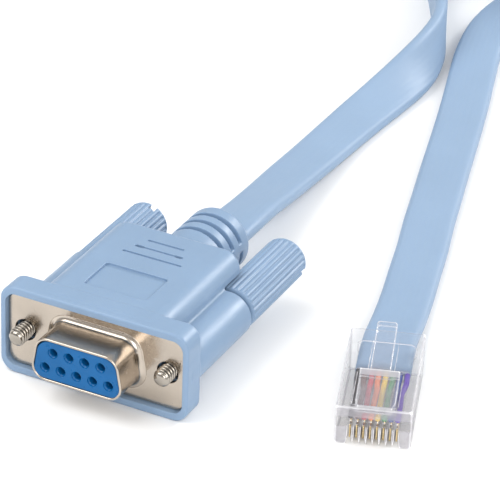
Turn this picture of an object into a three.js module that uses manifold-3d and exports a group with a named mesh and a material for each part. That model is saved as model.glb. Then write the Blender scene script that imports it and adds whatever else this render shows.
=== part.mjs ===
// Console cable: a nine-way D socket in a moulded hood with two thumbscrews, a flat
// eight-wire cable, and a clear eight-way modular plug with a spring latch.
// Millimetres. +X right, +Y back towards the cable, +Z up, the floor at z = 0.
import * as THREE from 'three';
import { mergeVertices } from 'three/addons/utils/BufferGeometryUtils.js';
import Module from 'manifold-3d';

// Clearances
const seatGap = 0.25;          // between pieces that seat in each other
const runningGap = 0.35;       // round a piece that turns or swings

// D socket
const plateHeight = 12.5;
const plateThickness = 0.8;
const plateCorner = 1.8;
const screwSpacing = 24.99;
const plateEnd = 2.905;        // from each screw's axis to the plate's end
const socketWidth = 15.7;      // outside, across the five-hole side
const socketHeight = 7.6;
const socketReach = 6.17;      // how far the nose stands out of the plate
const socketCorner = 2.4;
const socketWall = 0.4;
const socketSideAngle = 10;    // degrees
const flareWidth = 0.7;        // rolled foot of the nose
const flareReach = 0.5;
const contactPitch = 2.77;
const contactRowOffset = 1.42; // of each row from the middle
const longRowCount = 5;
const shortRowCount = 4;
const holeMouthRadius = 0.82;
const holeThroatRadius = 0.6;
const mouthDepth = 0.35;
const throatDepth = 0.9;
const contactTubeRadius = 0.75;
const contactTubeWall = 0.22;
const insulatorSetback = 0.15; // of its face from the nose's rim
const insulatorBack = 5;       // how far it reaches behind the plate's front

// Hood
const rimProud = 1;            // in front of the plate
const rimWidth = 0.85;         // beside the plate's ends
const hoodHeight = 15.4;
const flangeCorner = 2.6;
const flangeBack = 3.3;
const bodyWidth = 22.8;
const bodyBack = 26.5;
const bodyCorner = 3;
const bodyBackRound = 0.8;
const barrelRadius = 3.95;
const barrelBack = 20.4;
const bootRadius = 5.6;
const bootBack = 41.2;
const bootEndRound = 1.2;
const bootGroovePositions = [32.75, 35.35, 37.95];
const bootGrooveWidth = 0.9;
const bootGrooveDepth = 0.7;
const bootBridgeHeight = 1.5;  // of the bridges that part each groove at both sides
const bootBridgeRise = 0.9;    // of their middle above the boot's
const panelWidth = 10.9;
const panelFront = 5.65;
const panelBack = 13.05;
const panelDepth = 0.4;
const panelCorner = 0.6;
const ribGrooveWidths = [10.4, 8.4, 6.4];
const ribGrooveFront = 17.6;
const ribGroovePitch = 2.35;
const ribGrooveWidth = 0.45;
const ribGrooveDepth = 0.3;
const slotDepth = 2.2;         // of the cable's way into the boot

// Thumbscrews
const screwRadius = 1.42;
const screwTip = 3.2;          // in front of the plate
const screwTipChamfer = 0.45;
const screwSeat = 12;          // length held in the knob
const knobRadius = 3.75;
const knobLength = 18.8;
const knobFlutes = 24;
const fluteDepth = 0.2;
const knobEndChamfer = 0.5;
const knobSlotWidth = 1.1;
const knobSlotDepth = 1.4;
const knobTurns = { left: 70, right: -21 }; // degrees, of the end slots from level
const drawnBack = { left: 0, right: 0.75 }; // how far each thumbscrew sits back in its play

// Flat cable
const cableWidth = 8.7;
const cableThickness = 2.4;
const wireCount = 8;
const wireRadius = 0.44;
const wirePitch = 1.02;

// Plug
const plugWidth = 11.68;
const plugLength = 21.46;
const noseHeight = 6.6;
const plugBackHeight = 7.7;
const plugTopRampStart = 1.2;
const plugEdge = 0.35;
const cableLevel = 4;          // height of the cable's middle inside the plug
const wireFront = 1.4;
const wireBack = 14.4;
const bladeFront = 0.9;
const bladeBack = 4.6;
const bladeThickness = 0.32;
const bladeFoot = 0.45;
const bladeSlotWidth = 0.68;
const bladeSlotBack = 5.1;
const plugTurn = 19.3;         // degrees, about the vertical
const plugPlace = [43.53, 7.89];
const crimpFront = 15.4;
const crimpBack = 18.8;
const crimpHalfWidth = 3.3;

// Latch
const latchWidth = 6.2;
const latchTailWidth = 3.2;
const latchThickness = 1.2;
const latchTailThickness = 1;
const latchShoulder = 8.36;    // from the nose's face
const latchEnd = 18.8;
const latchShoulderTop = 8.2;
const latchEndTop = 11;
const latchRoot = 1.25;
const latchLugHeight = 0.45;
const latchLugLength = 1.7;
const latchPress = 7;          // degrees, how far it is pressed down
const bayRun = 2.4;            // how far the bay's back slope reaches behind the shoulder

// Coil of the spare length
const coilCentre = [0, 224];
const coilInner = 34.7;
const coilOuter = 45.9;
const coilHeight = 17.7;
const coilLift = 0.8;
const tieWidth = 6;
const tieThickness = 0.5;
const tieAngles = [20, 200];   // degrees round the coil

const middleHeight = hoodHeight / 2;
const screwOffset = screwSpacing / 2;
const plateWidth = screwSpacing + 2 * plateEnd;
const hoodFlangeWidth = plateWidth + 2 * (seatGap + rimWidth);
const knobFront = barrelBack + runningGap;
const knobBack = knobFront + knobLength;
const wireLevel = cableLevel;
const cavityHeight = cableThickness + 2 * seatGap;
const cavityWidth = cableWidth + 2 * seatGap;
const wireBayHeight = 2 * (wireRadius + seatGap);
const wireBayWidth = (wireCount - 1) * wirePitch + 2 * (wireRadius + seatGap);
const bladeTop = wireLevel - wireRadius - seatGap;
const latchHinge = [latchRoot - runningGap / 2, noseHeight - latchThickness / 2];
const originShift = -(bootBack - socketReach) / 2;

const wasm = await Module();
wasm.setup();

// Shape tools

function toSolid(geometry) {
  const plain = geometry.clone();
  plain.deleteAttribute('normal');
  plain.deleteAttribute('uv');
  const merged = mergeVertices(plain, 1e-4);
  return new wasm.Manifold(new wasm.Mesh({
    numProp: 3,
    vertProperties: new Float32Array(merged.attributes.position.array),
    triVerts: new Uint32Array(merged.index.array),
  }));
}

function toGeometry(solid) {
  const mesh = solid.getMesh();
  const geometry = new THREE.BufferGeometry();
  geometry.setAttribute('position', new THREE.BufferAttribute(new Float32Array(mesh.vertProperties), 3));
  geometry.setIndex(new THREE.BufferAttribute(new Uint32Array(mesh.triVerts), 1));
  geometry.computeVertexNormals();
  return geometry;
}

function joined(geometries) {
  return geometries.map(toSolid).reduce((sum, solid) => sum.add(solid));
}

function cut(solid, geometries) {
  return geometries.map(toSolid).reduce((rest, tool) => rest.subtract(tool), solid);
}

// Outlines are drawn in x and z, and reach from y = front to y = back.
function alongY(outline, front, back, edge = 0, steps = 2) {
  const geometry = new THREE.ExtrudeGeometry(outline, {
    depth: back - front - 2 * edge,
    bevelEnabled: edge > 0,
    bevelThickness: edge,
    bevelSize: edge,
    bevelOffset: -edge,
    bevelSegments: steps,
    curveSegments: 6,
  });
  geometry.rotateX(Math.PI / 2);
  geometry.translate(0, back - edge, 0);
  return geometry;
}

// Outlines are drawn in y and z, and reach across x.
function alongX(outline, left, right) {
  const geometry = new THREE.ExtrudeGeometry(outline, { depth: right - left, bevelEnabled: false });
  geometry.rotateX(Math.PI / 2);
  geometry.rotateZ(Math.PI / 2);
  geometry.translate(left, 0, 0);
  return geometry;
}

function block(x0, x1, y0, y1, z0, z1) {
  const geometry = new THREE.BoxGeometry(x1 - x0, y1 - y0, z1 - z0);
  geometry.translate((x0 + x1) / 2, (y0 + y1) / 2, (z0 + z1) / 2);
  return geometry;
}

// A turned piece about an axis along y: the profile lists [radius, y].
function turned(profile, segments, x = 0, z = middleHeight) {
  const geometry = new THREE.LatheGeometry(profile.map(([r, y]) => new THREE.Vector2(r, y)), segments);
  geometry.translate(x, 0, z);
  return geometry;
}

function rod(radius, front, back, segments, x = 0, z = middleHeight) {
  return turned([[0, front], [radius, front], [radius, back], [0, back]], segments, x, z);
}

function roundedRectangle(width, height, corner, centreZ = 0) {
  const shape = new THREE.Shape();
  const x = width / 2 - corner;
  const z = height / 2 - corner;
  shape.absarc(x, centreZ + z, corner, 0, Math.PI / 2);
  shape.absarc(-x, centreZ + z, corner, Math.PI / 2, Math.PI);
  shape.absarc(-x, centreZ - z, corner, Math.PI, 1.5 * Math.PI);
  shape.absarc(x, centreZ - z, corner, 1.5 * Math.PI, 2 * Math.PI);
  return shape;
}

// The D outline at a corner radius: every wall of the socket shares its corner centres.
function dOutline(corner, grow = 0) {
  const slope = THREE.MathUtils.degToRad(socketSideAngle);
  const z = socketHeight / 2 - socketCorner;
  const low = socketWidth / 2 - socketCorner;
  const high = low - 2 * z * Math.tan(slope);
  const r = corner + grow;
  const shape = new THREE.Shape();
  shape.absarc(high, middleHeight + z, r, slope, Math.PI / 2);
  shape.absarc(-high, middleHeight + z, r, Math.PI / 2, Math.PI - slope);
  shape.absarc(-low, middleHeight - z, r, Math.PI - slope, 1.5 * Math.PI);
  shape.absarc(low, middleHeight - z, r, 1.5 * Math.PI, 2 * Math.PI + slope);
  return shape;
}

// Contact places, seen from the mating side: the short row is above the long one.
function contactPlaces() {
  const places = [];
  for (const [count, z] of [[longRowCount, -contactRowOffset], [shortRowCount, contactRowOffset]]) {
    for (let i = 0; i < count; i += 1) {
      places.push([(i - (count - 1) / 2) * contactPitch, middleHeight + z]);
    }
  }
  return places;
}

// Hood

function bootProfile() {
  return [
    [0, bodyBack - 3],
    [bootRadius, bodyBack - 3],
    [bootRadius, bootBack - bootEndRound],
    [bootRadius - 0.3 * bootEndRound, bootBack - 0.3 * bootEndRound],
    [bootRadius - bootEndRound, bootBack],
    [0, bootBack],
  ];
}

// One groove round the boot, parted by a bridge at each side.
function bootGroove(y) {
  const front = y - bootGrooveWidth / 2;
  const back = y + bootGrooveWidth / 2;
  const waist = bootRadius - bootGrooveDepth;
  const ring = turned([[waist, front], [bootRadius + 1, front], [bootRadius + 1, back], [waist, back],
    [waist, front]], 32);
  const low = middleHeight + bootBridgeRise - bootBridgeHeight / 2;
  const bridges = [-1, 1].map((side) => block(side > 0 ? 0 : -bootRadius - 2, side > 0 ? bootRadius + 2 : 0,
    front - 1, back + 1, low, low + bootBridgeHeight));
  return cut(toSolid(ring), bridges);
}

function hoodGeometry() {
  const flange = alongY(roundedRectangle(hoodFlangeWidth, hoodHeight, flangeCorner, middleHeight),
    -rimProud, flangeBack, 0.3, 1);
  const body = alongY(roundedRectangle(bodyWidth, hoodHeight, bodyCorner, middleHeight),
    0, bodyBack, bodyBackRound);
  const barrels = [-screwOffset, screwOffset].map((x) => rod(barrelRadius, 1, barrelBack, 28, x));
  const boot = turned(bootProfile(), 32);
  const grooves = bootGroovePositions.map(bootGroove);
  const ribbed = grooves.reduce((rest, groove) => rest.subtract(groove), toSolid(boot));
  const solid = joined([flange, body, ...barrels]).add(ribbed);

  const platePocket = alongY(
    roundedRectangle(plateWidth + 2 * seatGap, plateHeight + 2 * seatGap, plateCorner, middleHeight),
    -rimProud - 1, plateThickness + seatGap);
  const insulatorPocket = alongY(dOutline(socketCorner - socketWall, 0), 0, insulatorBack + seatGap);
  const tools = [platePocket, insulatorPocket];
  for (const x of [-screwOffset, screwOffset]) {
    tools.push(rod(screwRadius + runningGap, 0, barrelBack + 1, 20, x));
    tools.push(rod(knobRadius + runningGap, barrelBack, bodyBack + 1, 28, x));
  }
  const panelMiddle = (panelFront + panelBack) / 2;
  const panel = roundedRectangle(panelWidth, panelBack - panelFront, panelCorner, panelMiddle);
  const panelCut = new THREE.ExtrudeGeometry(panel, {
    depth: 1 + panelDepth, bevelEnabled: false, curveSegments: 3,
  });
  panelCut.translate(0, 0, hoodHeight - panelDepth);
  tools.push(panelCut);
  ribGrooveWidths.forEach((width, i) => {
    const y = ribGrooveFront + i * ribGroovePitch;
    tools.push(block(-width / 2, width / 2, y - ribGrooveWidth / 2, y + ribGrooveWidth / 2,
      hoodHeight - ribGrooveDepth, hoodHeight + 1));
  });
  const slotWidth = cableWidth / 2 + seatGap;
  const slotHeight = cableThickness / 2 + seatGap;
  tools.push(block(-slotWidth, slotWidth, bootBack - slotDepth, bootBack + 1,
    middleHeight - slotHeight, middleHeight + slotHeight));
  return toGeometry(cut(solid, tools));
}

// D socket

function shellGeometry() {
  const plateOutline = roundedRectangle(plateWidth, plateHeight, plateCorner, middleHeight);
  const plate = alongY(plateOutline, 0, plateThickness);
  const nose = alongY(dOutline(socketCorner), -socketReach, plateThickness);
  const foot = alongY(dOutline(socketCorner, flareWidth / 2), -flareReach, plateThickness / 2);
  const sole = alongY(dOutline(socketCorner, flareWidth), -flareReach / 2, plateThickness / 2);
  const tools = [alongY(dOutline(socketCorner - socketWall), -socketReach - 1, plateThickness + 1)];
  for (const x of [-screwOffset, screwOffset]) {
    tools.push(rod(screwRadius + runningGap, -1, plateThickness + 1, 20, x));
  }
  return toGeometry(cut(joined([plate, nose, foot, sole]), tools));
}

function insulatorGeometry() {
  const front = -socketReach + insulatorSetback;
  const blockBody = alongY(dOutline(socketCorner - socketWall - seatGap), front, insulatorBack);
  const chamber = contactTubeRadius + seatGap;
  const holes = contactPlaces().map(([x, z]) => turned([
    [0, front - 1],
    [holeMouthRadius, front - 1],
    [holeMouthRadius, front],
    [holeThroatRadius, front + mouthDepth],
    [holeThroatRadius, front + throatDepth],
    [chamber, front + throatDepth],
    [chamber, insulatorBack + 1],
    [0, insulatorBack + 1],
  ], 14, x, z));
  return toGeometry(cut(toSolid(blockBody), holes));
}

function contactGeometry([x, z]) {
  const front = -socketReach + insulatorSetback + throatDepth + seatGap;
  const inner = contactTubeRadius - contactTubeWall;
  return turned([[inner, front], [contactTubeRadius, front], [contactTubeRadius, insulatorBack],
    [inner, insulatorBack], [inner, front]], 12, x, z);
}

// Thumbscrews

function screwGeometry(x) {
  const back = knobFront + screwSeat;
  return turned([[0, -screwTip], [screwRadius - screwTipChamfer, -screwTip],
    [screwRadius, -screwTip + screwTipChamfer], [screwRadius, back], [0, back]], 18, x);
}

function knobGeometry(x, turn) {
  const outline = new THREE.Shape();
  for (let i = 0; i < knobFlutes * 4; i += 1) {
    const angle = (i / (knobFlutes * 4)) * 2 * Math.PI;
    const radius = knobRadius - (i % 4 > 1 ? fluteDepth : 0);
    const point = [radius * Math.cos(angle), middleHeight + radius * Math.sin(angle)];
    if (i === 0) {
      outline.moveTo(...point);
    } else {
      outline.lineTo(...point);
    }
  }
  const knob = alongY(outline, knobFront, knobBack);
  const envelope = turned([[0, knobFront], [knobRadius, knobFront], [knobRadius, knobBack - knobEndChamfer],
    [knobRadius - knobEndChamfer, knobBack], [0, knobBack]], 44);
  const bore = rod(screwRadius + seatGap, knobFront - 1, knobFront + screwSeat + seatGap, 18);
  const slot = block(-knobRadius - 1, knobRadius + 1, knobBack - knobSlotDepth, knobBack + 1,
    middleHeight - knobSlotWidth / 2, middleHeight + knobSlotWidth / 2);
  const geometry = toGeometry(cut(toSolid(knob).intersect(toSolid(envelope)), [bore, slot]));
  geometry.translate(0, 0, -middleHeight);
  geometry.rotateY(THREE.MathUtils.degToRad(-turn));
  geometry.translate(x, 0, middleHeight);
  return geometry;
}

// Plug, in its own place: the nose's face at y = 0, the floor at z = 0, and x across.

function plugProfile() {
  const shape = new THREE.Shape();
  shape.moveTo(0, plugEdge);
  shape.lineTo(plugEdge, 0);
  shape.lineTo(plugLength, 0);
  shape.lineTo(plugLength, plugBackHeight);
  shape.lineTo(plugTopRampStart, noseHeight);
  shape.lineTo(plugEdge, noseHeight);
  shape.lineTo(0, noseHeight - plugEdge);
  return shape;
}

function wirePlaces() {
  return Array.from({ length: wireCount }, (_, i) => (i - (wireCount - 1) / 2) * wirePitch);
}

// The tail's underside, from the shoulder to its end.
const tailFront = latchShoulder - 0.5;
const tailUnderside = [
  [tailFront, latchShoulderTop - latchTailThickness],
  [latchEnd, latchEndTop - latchTailThickness],
];

// Where a point of the latch comes to when the latch is pressed down.
function pressedPoint([y, z]) {
  const angle = THREE.MathUtils.degToRad(latchPress);
  const dy = y - latchHinge[0];
  const dz = z - latchHinge[1];
  return [
    latchHinge[0] + dy * Math.cos(angle) + dz * Math.sin(angle),
    latchHinge[1] + dz * Math.cos(angle) - dy * Math.sin(angle),
  ];
}

// The way that the pressed tail takes into the body's top.
function tailChannel() {
  const [[y0, z0], [y1, z1]] = tailUnderside.map(pressedPoint);
  const slope = (z1 - z0) / (y1 - y0);
  const front = latchShoulder;
  const back = plugLength + 1;
  const shape = new THREE.Shape();
  shape.moveTo(front, z0 + (front - y0) * slope - runningGap);
  shape.lineTo(back, z0 + (back - y0) * slope - runningGap);
  shape.lineTo(back, latchEndTop);
  shape.lineTo(front, latchEndTop);
  const half = latchTailWidth / 2 + runningGap;
  return alongX(shape, -half, half);
}

function plugBodyGeometry() {
  const body = alongX(plugProfile(), -plugWidth / 2, plugWidth / 2);
  const tools = [
    block(-cavityWidth / 2, cavityWidth / 2, wireBack, plugLength + 1,
      cableLevel - cavityHeight / 2, cableLevel + cavityHeight / 2),
    block(-wireBayWidth / 2, wireBayWidth / 2, wireFront - seatGap, wireBack + 1,
      wireLevel - wireBayHeight / 2, wireLevel + wireBayHeight / 2),
    block(-crimpHalfWidth, crimpHalfWidth, crimpFront, crimpBack, -1, cableLevel - cavityHeight / 2 - 0.35),
  ];
  for (const x of wirePlaces()) {
    tools.push(block(x - bladeSlotWidth / 2, x + bladeSlotWidth / 2, -1, bladeSlotBack, -1,
      wireLevel - wireRadius));
  }
  const bayHalf = latchWidth / 2 + runningGap;
  const bay = new THREE.Shape();
  const bayFront = latchRoot - runningGap;
  const bayFloor = noseHeight - latchThickness - runningGap;
  bay.moveTo(bayFront, bayFloor);
  bay.lineTo(latchShoulder + runningGap, bayFloor);
  bay.lineTo(latchShoulder + bayRun, plugBackHeight + 1);
  bay.lineTo(bayFront, plugBackHeight + 1);
  tools.push(alongX(bay, -bayHalf, bayHalf), tailChannel());
  return toGeometry(cut(toSolid(body), tools));
}

function latchGeometry() {
  const wide = new THREE.Shape();
  wide.moveTo(latchRoot, noseHeight - latchThickness);
  wide.lineTo(latchShoulder, latchShoulderTop - latchThickness);
  wide.lineTo(latchShoulder, latchShoulderTop + latchLugHeight);
  wide.lineTo(latchShoulder - latchLugLength, latchShoulderTop);
  wide.lineTo(latchRoot, noseHeight);
  const tail = new THREE.Shape();
  tailUnderside.forEach(([y, z], i) => (i === 0 ? tail.moveTo(y, z) : tail.lineTo(y, z)));
  tail.lineTo(latchEnd, latchEndTop);
  tail.lineTo(tailFront, latchShoulderTop);
  return toGeometry(joined([
    alongX(wide, -latchWidth / 2, latchWidth / 2),
    alongX(tail, -latchTailWidth / 2, latchTailWidth / 2),
  ]));
}

function bladeGeometry(x) {
  return block(x - bladeThickness / 2, x + bladeThickness / 2, bladeFront, bladeBack, bladeFoot, bladeTop);
}

function wireGeometry(x) {
  return rod(wireRadius, wireFront, wireBack, 12, x, wireLevel);
}

// Cable

// A curve that also says how the flat section is rolled about it at each of its points.
class RolledCurve extends THREE.CatmullRomCurve3 {
  constructor(points) {
    super(points.map(([x, y, z]) => new THREE.Vector3(x, y, z)), false, 'centripetal');
    this.rolls = points.map((point) => THREE.MathUtils.degToRad(point[3]));
  }

  rollAt(u) {
    const place = this.getUtoTmapping(u) * (this.rolls.length - 1);
    const i = Math.min(Math.floor(place), this.rolls.length - 2);
    const t = place - i;
    const smooth = t * t * (3 - 2 * t);
    return this.rolls[i] + (this.rolls[i + 1] - this.rolls[i]) * smooth;
  }

  // Normals point across the cable's width, binormals through its thickness.
  computeFrenetFrames(segments) {
    const tangents = [];
    const normals = [];
    const binormals = [];
    const up = new THREE.Vector3(0, 0, 1);
    for (let i = 0; i <= segments; i += 1) {
      const tangent = this.getTangentAt(i / segments);
      const across = new THREE.Vector3().crossVectors(tangent, up).normalize();
      const over = new THREE.Vector3().crossVectors(across, tangent).normalize();
      const roll = this.rollAt(i / segments);
      const normal = across.clone().multiplyScalar(Math.cos(roll)).addScaledVector(over, Math.sin(roll));
      tangents.push(tangent);
      normals.push(normal);
      binormals.push(new THREE.Vector3().crossVectors(tangent, normal));
    }
    return { tangents, normals, binormals };
  }
}

function cableSection() {
  const shape = new THREE.Shape();
  const x = (cableWidth - cableThickness) / 2;
  const r = cableThickness / 2;
  for (const [side, start] of [[1, -90], [-1, 90]]) {
    for (const turn of [0, 60, 120, 180]) {
      const angle = THREE.MathUtils.degToRad(start + turn);
      const point = [side * x + r * Math.cos(angle), r * Math.sin(angle)];
      if (side === 1 && turn === 0) {
        shape.moveTo(...point);
      } else {
        shape.lineTo(...point);
      }
    }
  }
  return shape;
}

// Each point: x, y, z of the cable's middle, then its roll in degrees, right edge up.
const hoodStretch = [
  [0, 39.4, 7.7, 0],
  [0, 43.5, 7.7, 1],
  [-0.1, 48, 7.4, 4],
  [-0.5, 54, 6.7, 7],
  [-1.2, 62, 5.4, 4],
  [-2, 71, 4.1, 0],
  [-2.6, 81, 2.9, -3],
  [-3, 91, 2.1, -7],
  [-2.7, 101, 2.1, -13],
  [-1.9, 110, 2.6, -22],
  [-1.1, 118, 3.4, -40],
  [-1, 125, 4.2, -62],
  [-2.1, 132.5, 4.7, -80],
  [-4.4, 139, 5, -90],
  [-8.1, 146.2, 5.1, -90],
  [-12.3, 153.9, 5.2, -90],
  [-16.9, 162.3, 5.2, -90],
  [-21.5, 170.8, 5.2, -90],
  [-26, 179.1, 5.2, -90],
  [-30.4, 187.2, 5.2, -90],
];
const plugStretch = [
  [38.67, 21.76, 4, 0],
  [36.7, 27.4, 4, 0],
  [34.9, 33, 3.3, 0],
  [33, 39.7, 1.9, 0],
  [30.8, 47.9, 1.3, 0],
  [28.5, 55.9, 1.3, 0],
  [26.2, 64.1, 1.3, 0],
  [23.6, 72.4, 1.3, 0],
  [21.1, 81.1, 1.3, 0],
  [18.5, 90, 1.3, 0],
  [15.9, 99.2, 1.3, 0],
  [13.2, 108.6, 1.3, 0],
  [10.3, 118.3, 1.3, 0],
  [7.3, 127.8, 1.3, 0],
  [4.6, 137, 1.5, 3],
  [2.9, 146.5, 2.7, 14],
  [3.2, 154, 4.9, 36],
  [5.2, 161.5, 7.4, 58],
  [8.6, 168.4, 9.7, 75],
  [12.6, 174.3, 11.5, 86],
  [17.2, 179.4, 12.8, 90],
];

function stretchGeometry(points) {
  const curve = new RolledCurve(points);
  const steps = Math.round(curve.getLength() / (1.1 * cableWidth));
  return new THREE.ExtrudeGeometry(cableSection(), { steps, extrudePath: curve });
}

function coilGeometry() {
  const corner = 1;
  const low = coilLift;
  const high = coilLift + coilHeight;
  const geometry = new THREE.LatheGeometry([
    [coilInner + corner, low], [coilOuter - corner, low], [coilOuter, low + corner],
    [coilOuter, high - corner], [coilOuter - corner, high], [coilInner + corner, high],
    [coilInner, high - corner], [coilInner, low + corner], [coilInner + corner, low],
  ].map(([r, z]) => new THREE.Vector2(r, z)), 72);
  geometry.rotateX(Math.PI / 2);
  geometry.translate(coilCentre[0], coilCentre[1], 0);
  return geometry;
}

function tieGeometry(angle) {
  const inner = coilOuter - coilInner + 2 * seatGap;
  const tall = coilHeight + 2 * seatGap;
  const middle = coilLift + coilHeight / 2;
  const outline = roundedRectangle(inner + 2 * tieThickness, tall + 2 * tieThickness, 1.2, middle);
  outline.holes.push(roundedRectangle(inner, tall, 0.7, middle));
  const geometry = alongY(outline, -tieWidth / 2, tieWidth / 2);
  geometry.translate((coilInner + coilOuter) / 2, 0, 0);
  geometry.rotateZ(THREE.MathUtils.degToRad(angle));
  geometry.translate(coilCentre[0], coilCentre[1], 0);
  return geometry;
}

// Finishes

function finish(color, roughness, metalness, more = {}) {
  return new THREE.MeshStandardMaterial({ color, roughness, metalness, ...more });
}

const paleBlue = 0xa1bddb;
const wireColours = {
  black: 0x1c1c1e,
  brown: 0x6a4630,
  red: 0xb4303a,
  orange: 0xe07a30,
  yellow: 0xe3c23c,
  green: 0x2f8a4c,
  blue: 0x2440b0,
  purple: 0x5a2f9a,
};

function piece(name, geometry, material) {
  const mesh = new THREE.Mesh(geometry, material);
  mesh.name = name;
  return mesh;
}

function socketEnd() {
  const group = new THREE.Group();
  group.add(piece('hood', hoodGeometry(), finish(paleBlue, 0.45, 0)));
  group.add(piece('socket_shell', shellGeometry(), finish(0xbeb2a8, 0.28, 1)));
  group.add(piece('insulator', insulatorGeometry(), finish(0x216eb9, 0.4, 0)));
  contactPlaces().forEach((place, i) => {
    group.add(piece(`socket_contact_${i + 1}`, contactGeometry(place), finish(0xc9a24a, 0.3, 1)));
  });
  for (const [side, x] of [['left', -screwOffset], ['right', screwOffset]]) {
    const knob = piece(`thumbscrew_knob_${side}`, knobGeometry(x, knobTurns[side]), finish(paleBlue, 0.5, 0));
    const screw = piece(`thumbscrew_screw_${side}`, screwGeometry(x), finish(0xc8c0b4, 0.25, 1));
    for (const mesh of [knob, screw]) {
      mesh.position.y = drawnBack[side];
      group.add(mesh);
    }
  }
  return group;
}

function plugEnd() {
  const group = new THREE.Group();
  const clear = { transparent: true, opacity: 0.4 };
  group.add(piece('plug_body', plugBodyGeometry(), finish(0xe6e8ec, 0.1, 0, clear)));
  group.add(piece('plug_latch', latchGeometry(), finish(0xe6e8ec, 0.1, 0, clear)));
  Object.entries(wireColours).forEach(([name, colour], i) => {
    const x = wirePlaces()[i];
    group.add(piece(`plug_contact_${i + 1}`, bladeGeometry(x), finish(0xd4a94e, 0.25, 1)));
    group.add(piece(`wire_${name}`, wireGeometry(x), finish(colour, 0.5, 0)));
  });
  group.rotation.z = THREE.MathUtils.degToRad(plugTurn);
  group.position.set(plugPlace[0], plugPlace[1], 0);
  return group;
}

function cableLength() {
  const group = new THREE.Group();
  const jacket = () => finish(0xacc6e4, 0.42, 0);
  group.add(piece('cable_hood_stretch', stretchGeometry(hoodStretch), jacket()));
  group.add(piece('cable_coil', coilGeometry(), jacket()));
  group.add(piece('cable_plug_stretch', stretchGeometry(plugStretch), jacket()));
  tieAngles.forEach((angle, i) => {
    group.add(piece(`coil_tie_${i + 1}`, tieGeometry(angle), finish(0x2b2d30, 0.7, 0)));
  });
  return group;
}

const consoleCable = new THREE.Group();
consoleCable.add(socketEnd(), plugEnd(), cableLength());
consoleCable.position.y = originShift;

export default consoleCable;
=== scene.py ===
"""A console cable: a nine-way D socket in a moulded hood, a flat cable and a clear modular plug.

Shapes are worked out in millimetres, with the plate's front face at y = 0, the middle of the
socket at x = 0 and the floor at z = 0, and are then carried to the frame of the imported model.
"""

import math

import bmesh
import bpy
import numpy as np
from mathutils import Matrix


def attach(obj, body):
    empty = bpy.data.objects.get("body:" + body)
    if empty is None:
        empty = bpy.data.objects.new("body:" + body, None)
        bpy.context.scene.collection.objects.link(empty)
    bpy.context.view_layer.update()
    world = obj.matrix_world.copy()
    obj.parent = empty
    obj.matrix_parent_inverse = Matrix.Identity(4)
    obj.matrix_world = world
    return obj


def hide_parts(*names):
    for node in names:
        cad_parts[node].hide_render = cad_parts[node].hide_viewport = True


bl_info = {
    "name": "Console cable",
    "version": (1, 0, 0),
    "blender": (4, 5, 0),
    "location": "3D View > Sidebar > Console cable",
    "description": "Builds a console cable with its socket, thumbscrews, flat cable and plug",
    "category": "Object",
}

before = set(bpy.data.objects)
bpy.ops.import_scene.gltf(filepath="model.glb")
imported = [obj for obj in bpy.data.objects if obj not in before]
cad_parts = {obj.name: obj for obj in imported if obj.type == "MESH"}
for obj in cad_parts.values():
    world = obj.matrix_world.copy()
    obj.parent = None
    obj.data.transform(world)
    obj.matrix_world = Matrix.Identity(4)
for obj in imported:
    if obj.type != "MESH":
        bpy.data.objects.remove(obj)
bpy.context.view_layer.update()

ROOT = "cable_assembly"
SIDES = {"left": -1, "right": 1}
ROW_SHIFT = -17.515  # millimetres, from the plate's front face to the row's origin
WIRES = ("black", "brown", "red", "orange", "yellow", "green", "blue", "purple")

# The route of the cable: x, y, z of its middle, then its roll in degrees, right edge up.
HOOD_STRETCH = (
    (0, 39.4, 7.7, 0), (0, 43.5, 7.7, 1), (-0.1, 48, 7.4, 4), (-0.5, 54, 6.7, 7),
    (-1.2, 62, 5.4, 4), (-2, 71, 4.1, 0), (-2.6, 81, 2.9, -3), (-3, 91, 2.1, -7),
    (-2.7, 101, 2.1, -13), (-1.9, 110, 2.6, -22), (-1.1, 118, 3.4, -40),
    (-1, 125, 4.2, -62), (-2.1, 132.5, 4.7, -80), (-4.4, 139, 5, -90),
    (-8.1, 146.2, 5.1, -90), (-12.3, 153.9, 5.2, -90), (-16.9, 162.3, 5.2, -90),
    (-21.5, 170.8, 5.2, -90), (-26, 179.1, 5.2, -90), (-30.4, 187.2, 5.2, -90),
)
PLUG_STRETCH = (
    (38.67, 21.76, 4, 0), (36.7, 27.4, 4, 0), (34.9, 33, 3.3, 0), (33, 39.7, 1.9, 0),
    (30.8, 47.9, 1.3, 0), (28.5, 55.9, 1.3, 0), (26.2, 64.1, 1.3, 0), (23.6, 72.4, 1.3, 0),
    (21.1, 81.1, 1.3, 0), (18.5, 90, 1.3, 0), (15.9, 99.2, 1.3, 0), (13.2, 108.6, 1.3, 0),
    (10.3, 118.3, 1.3, 0), (7.3, 127.8, 1.3, 0), (4.6, 137, 1.5, 3), (2.9, 146.5, 2.7, 14),
    (3.2, 154, 4.9, 36), (5.2, 161.5, 7.4, 58), (8.6, 168.4, 9.7, 75),
    (12.6, 174.3, 11.5, 86), (17.2, 179.4, 12.8, 90),
)


# Sizes and colours


def length(name, description, millimetres):
    """A size property, shown in the scene's own unit."""
    return bpy.props.FloatProperty(
        name=name,
        description=description,
        default=millimetres / 1000,
        min=0,
        precision=5,
        unit="LENGTH",
        subtype="DISTANCE",
    )


def colour(name, description, value):
    """A colour property."""
    return bpy.props.FloatVectorProperty(
        name=name,
        description=description,
        default=value,
        min=0,
        max=1,
        size=3,
        subtype="COLOR",
    )


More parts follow.
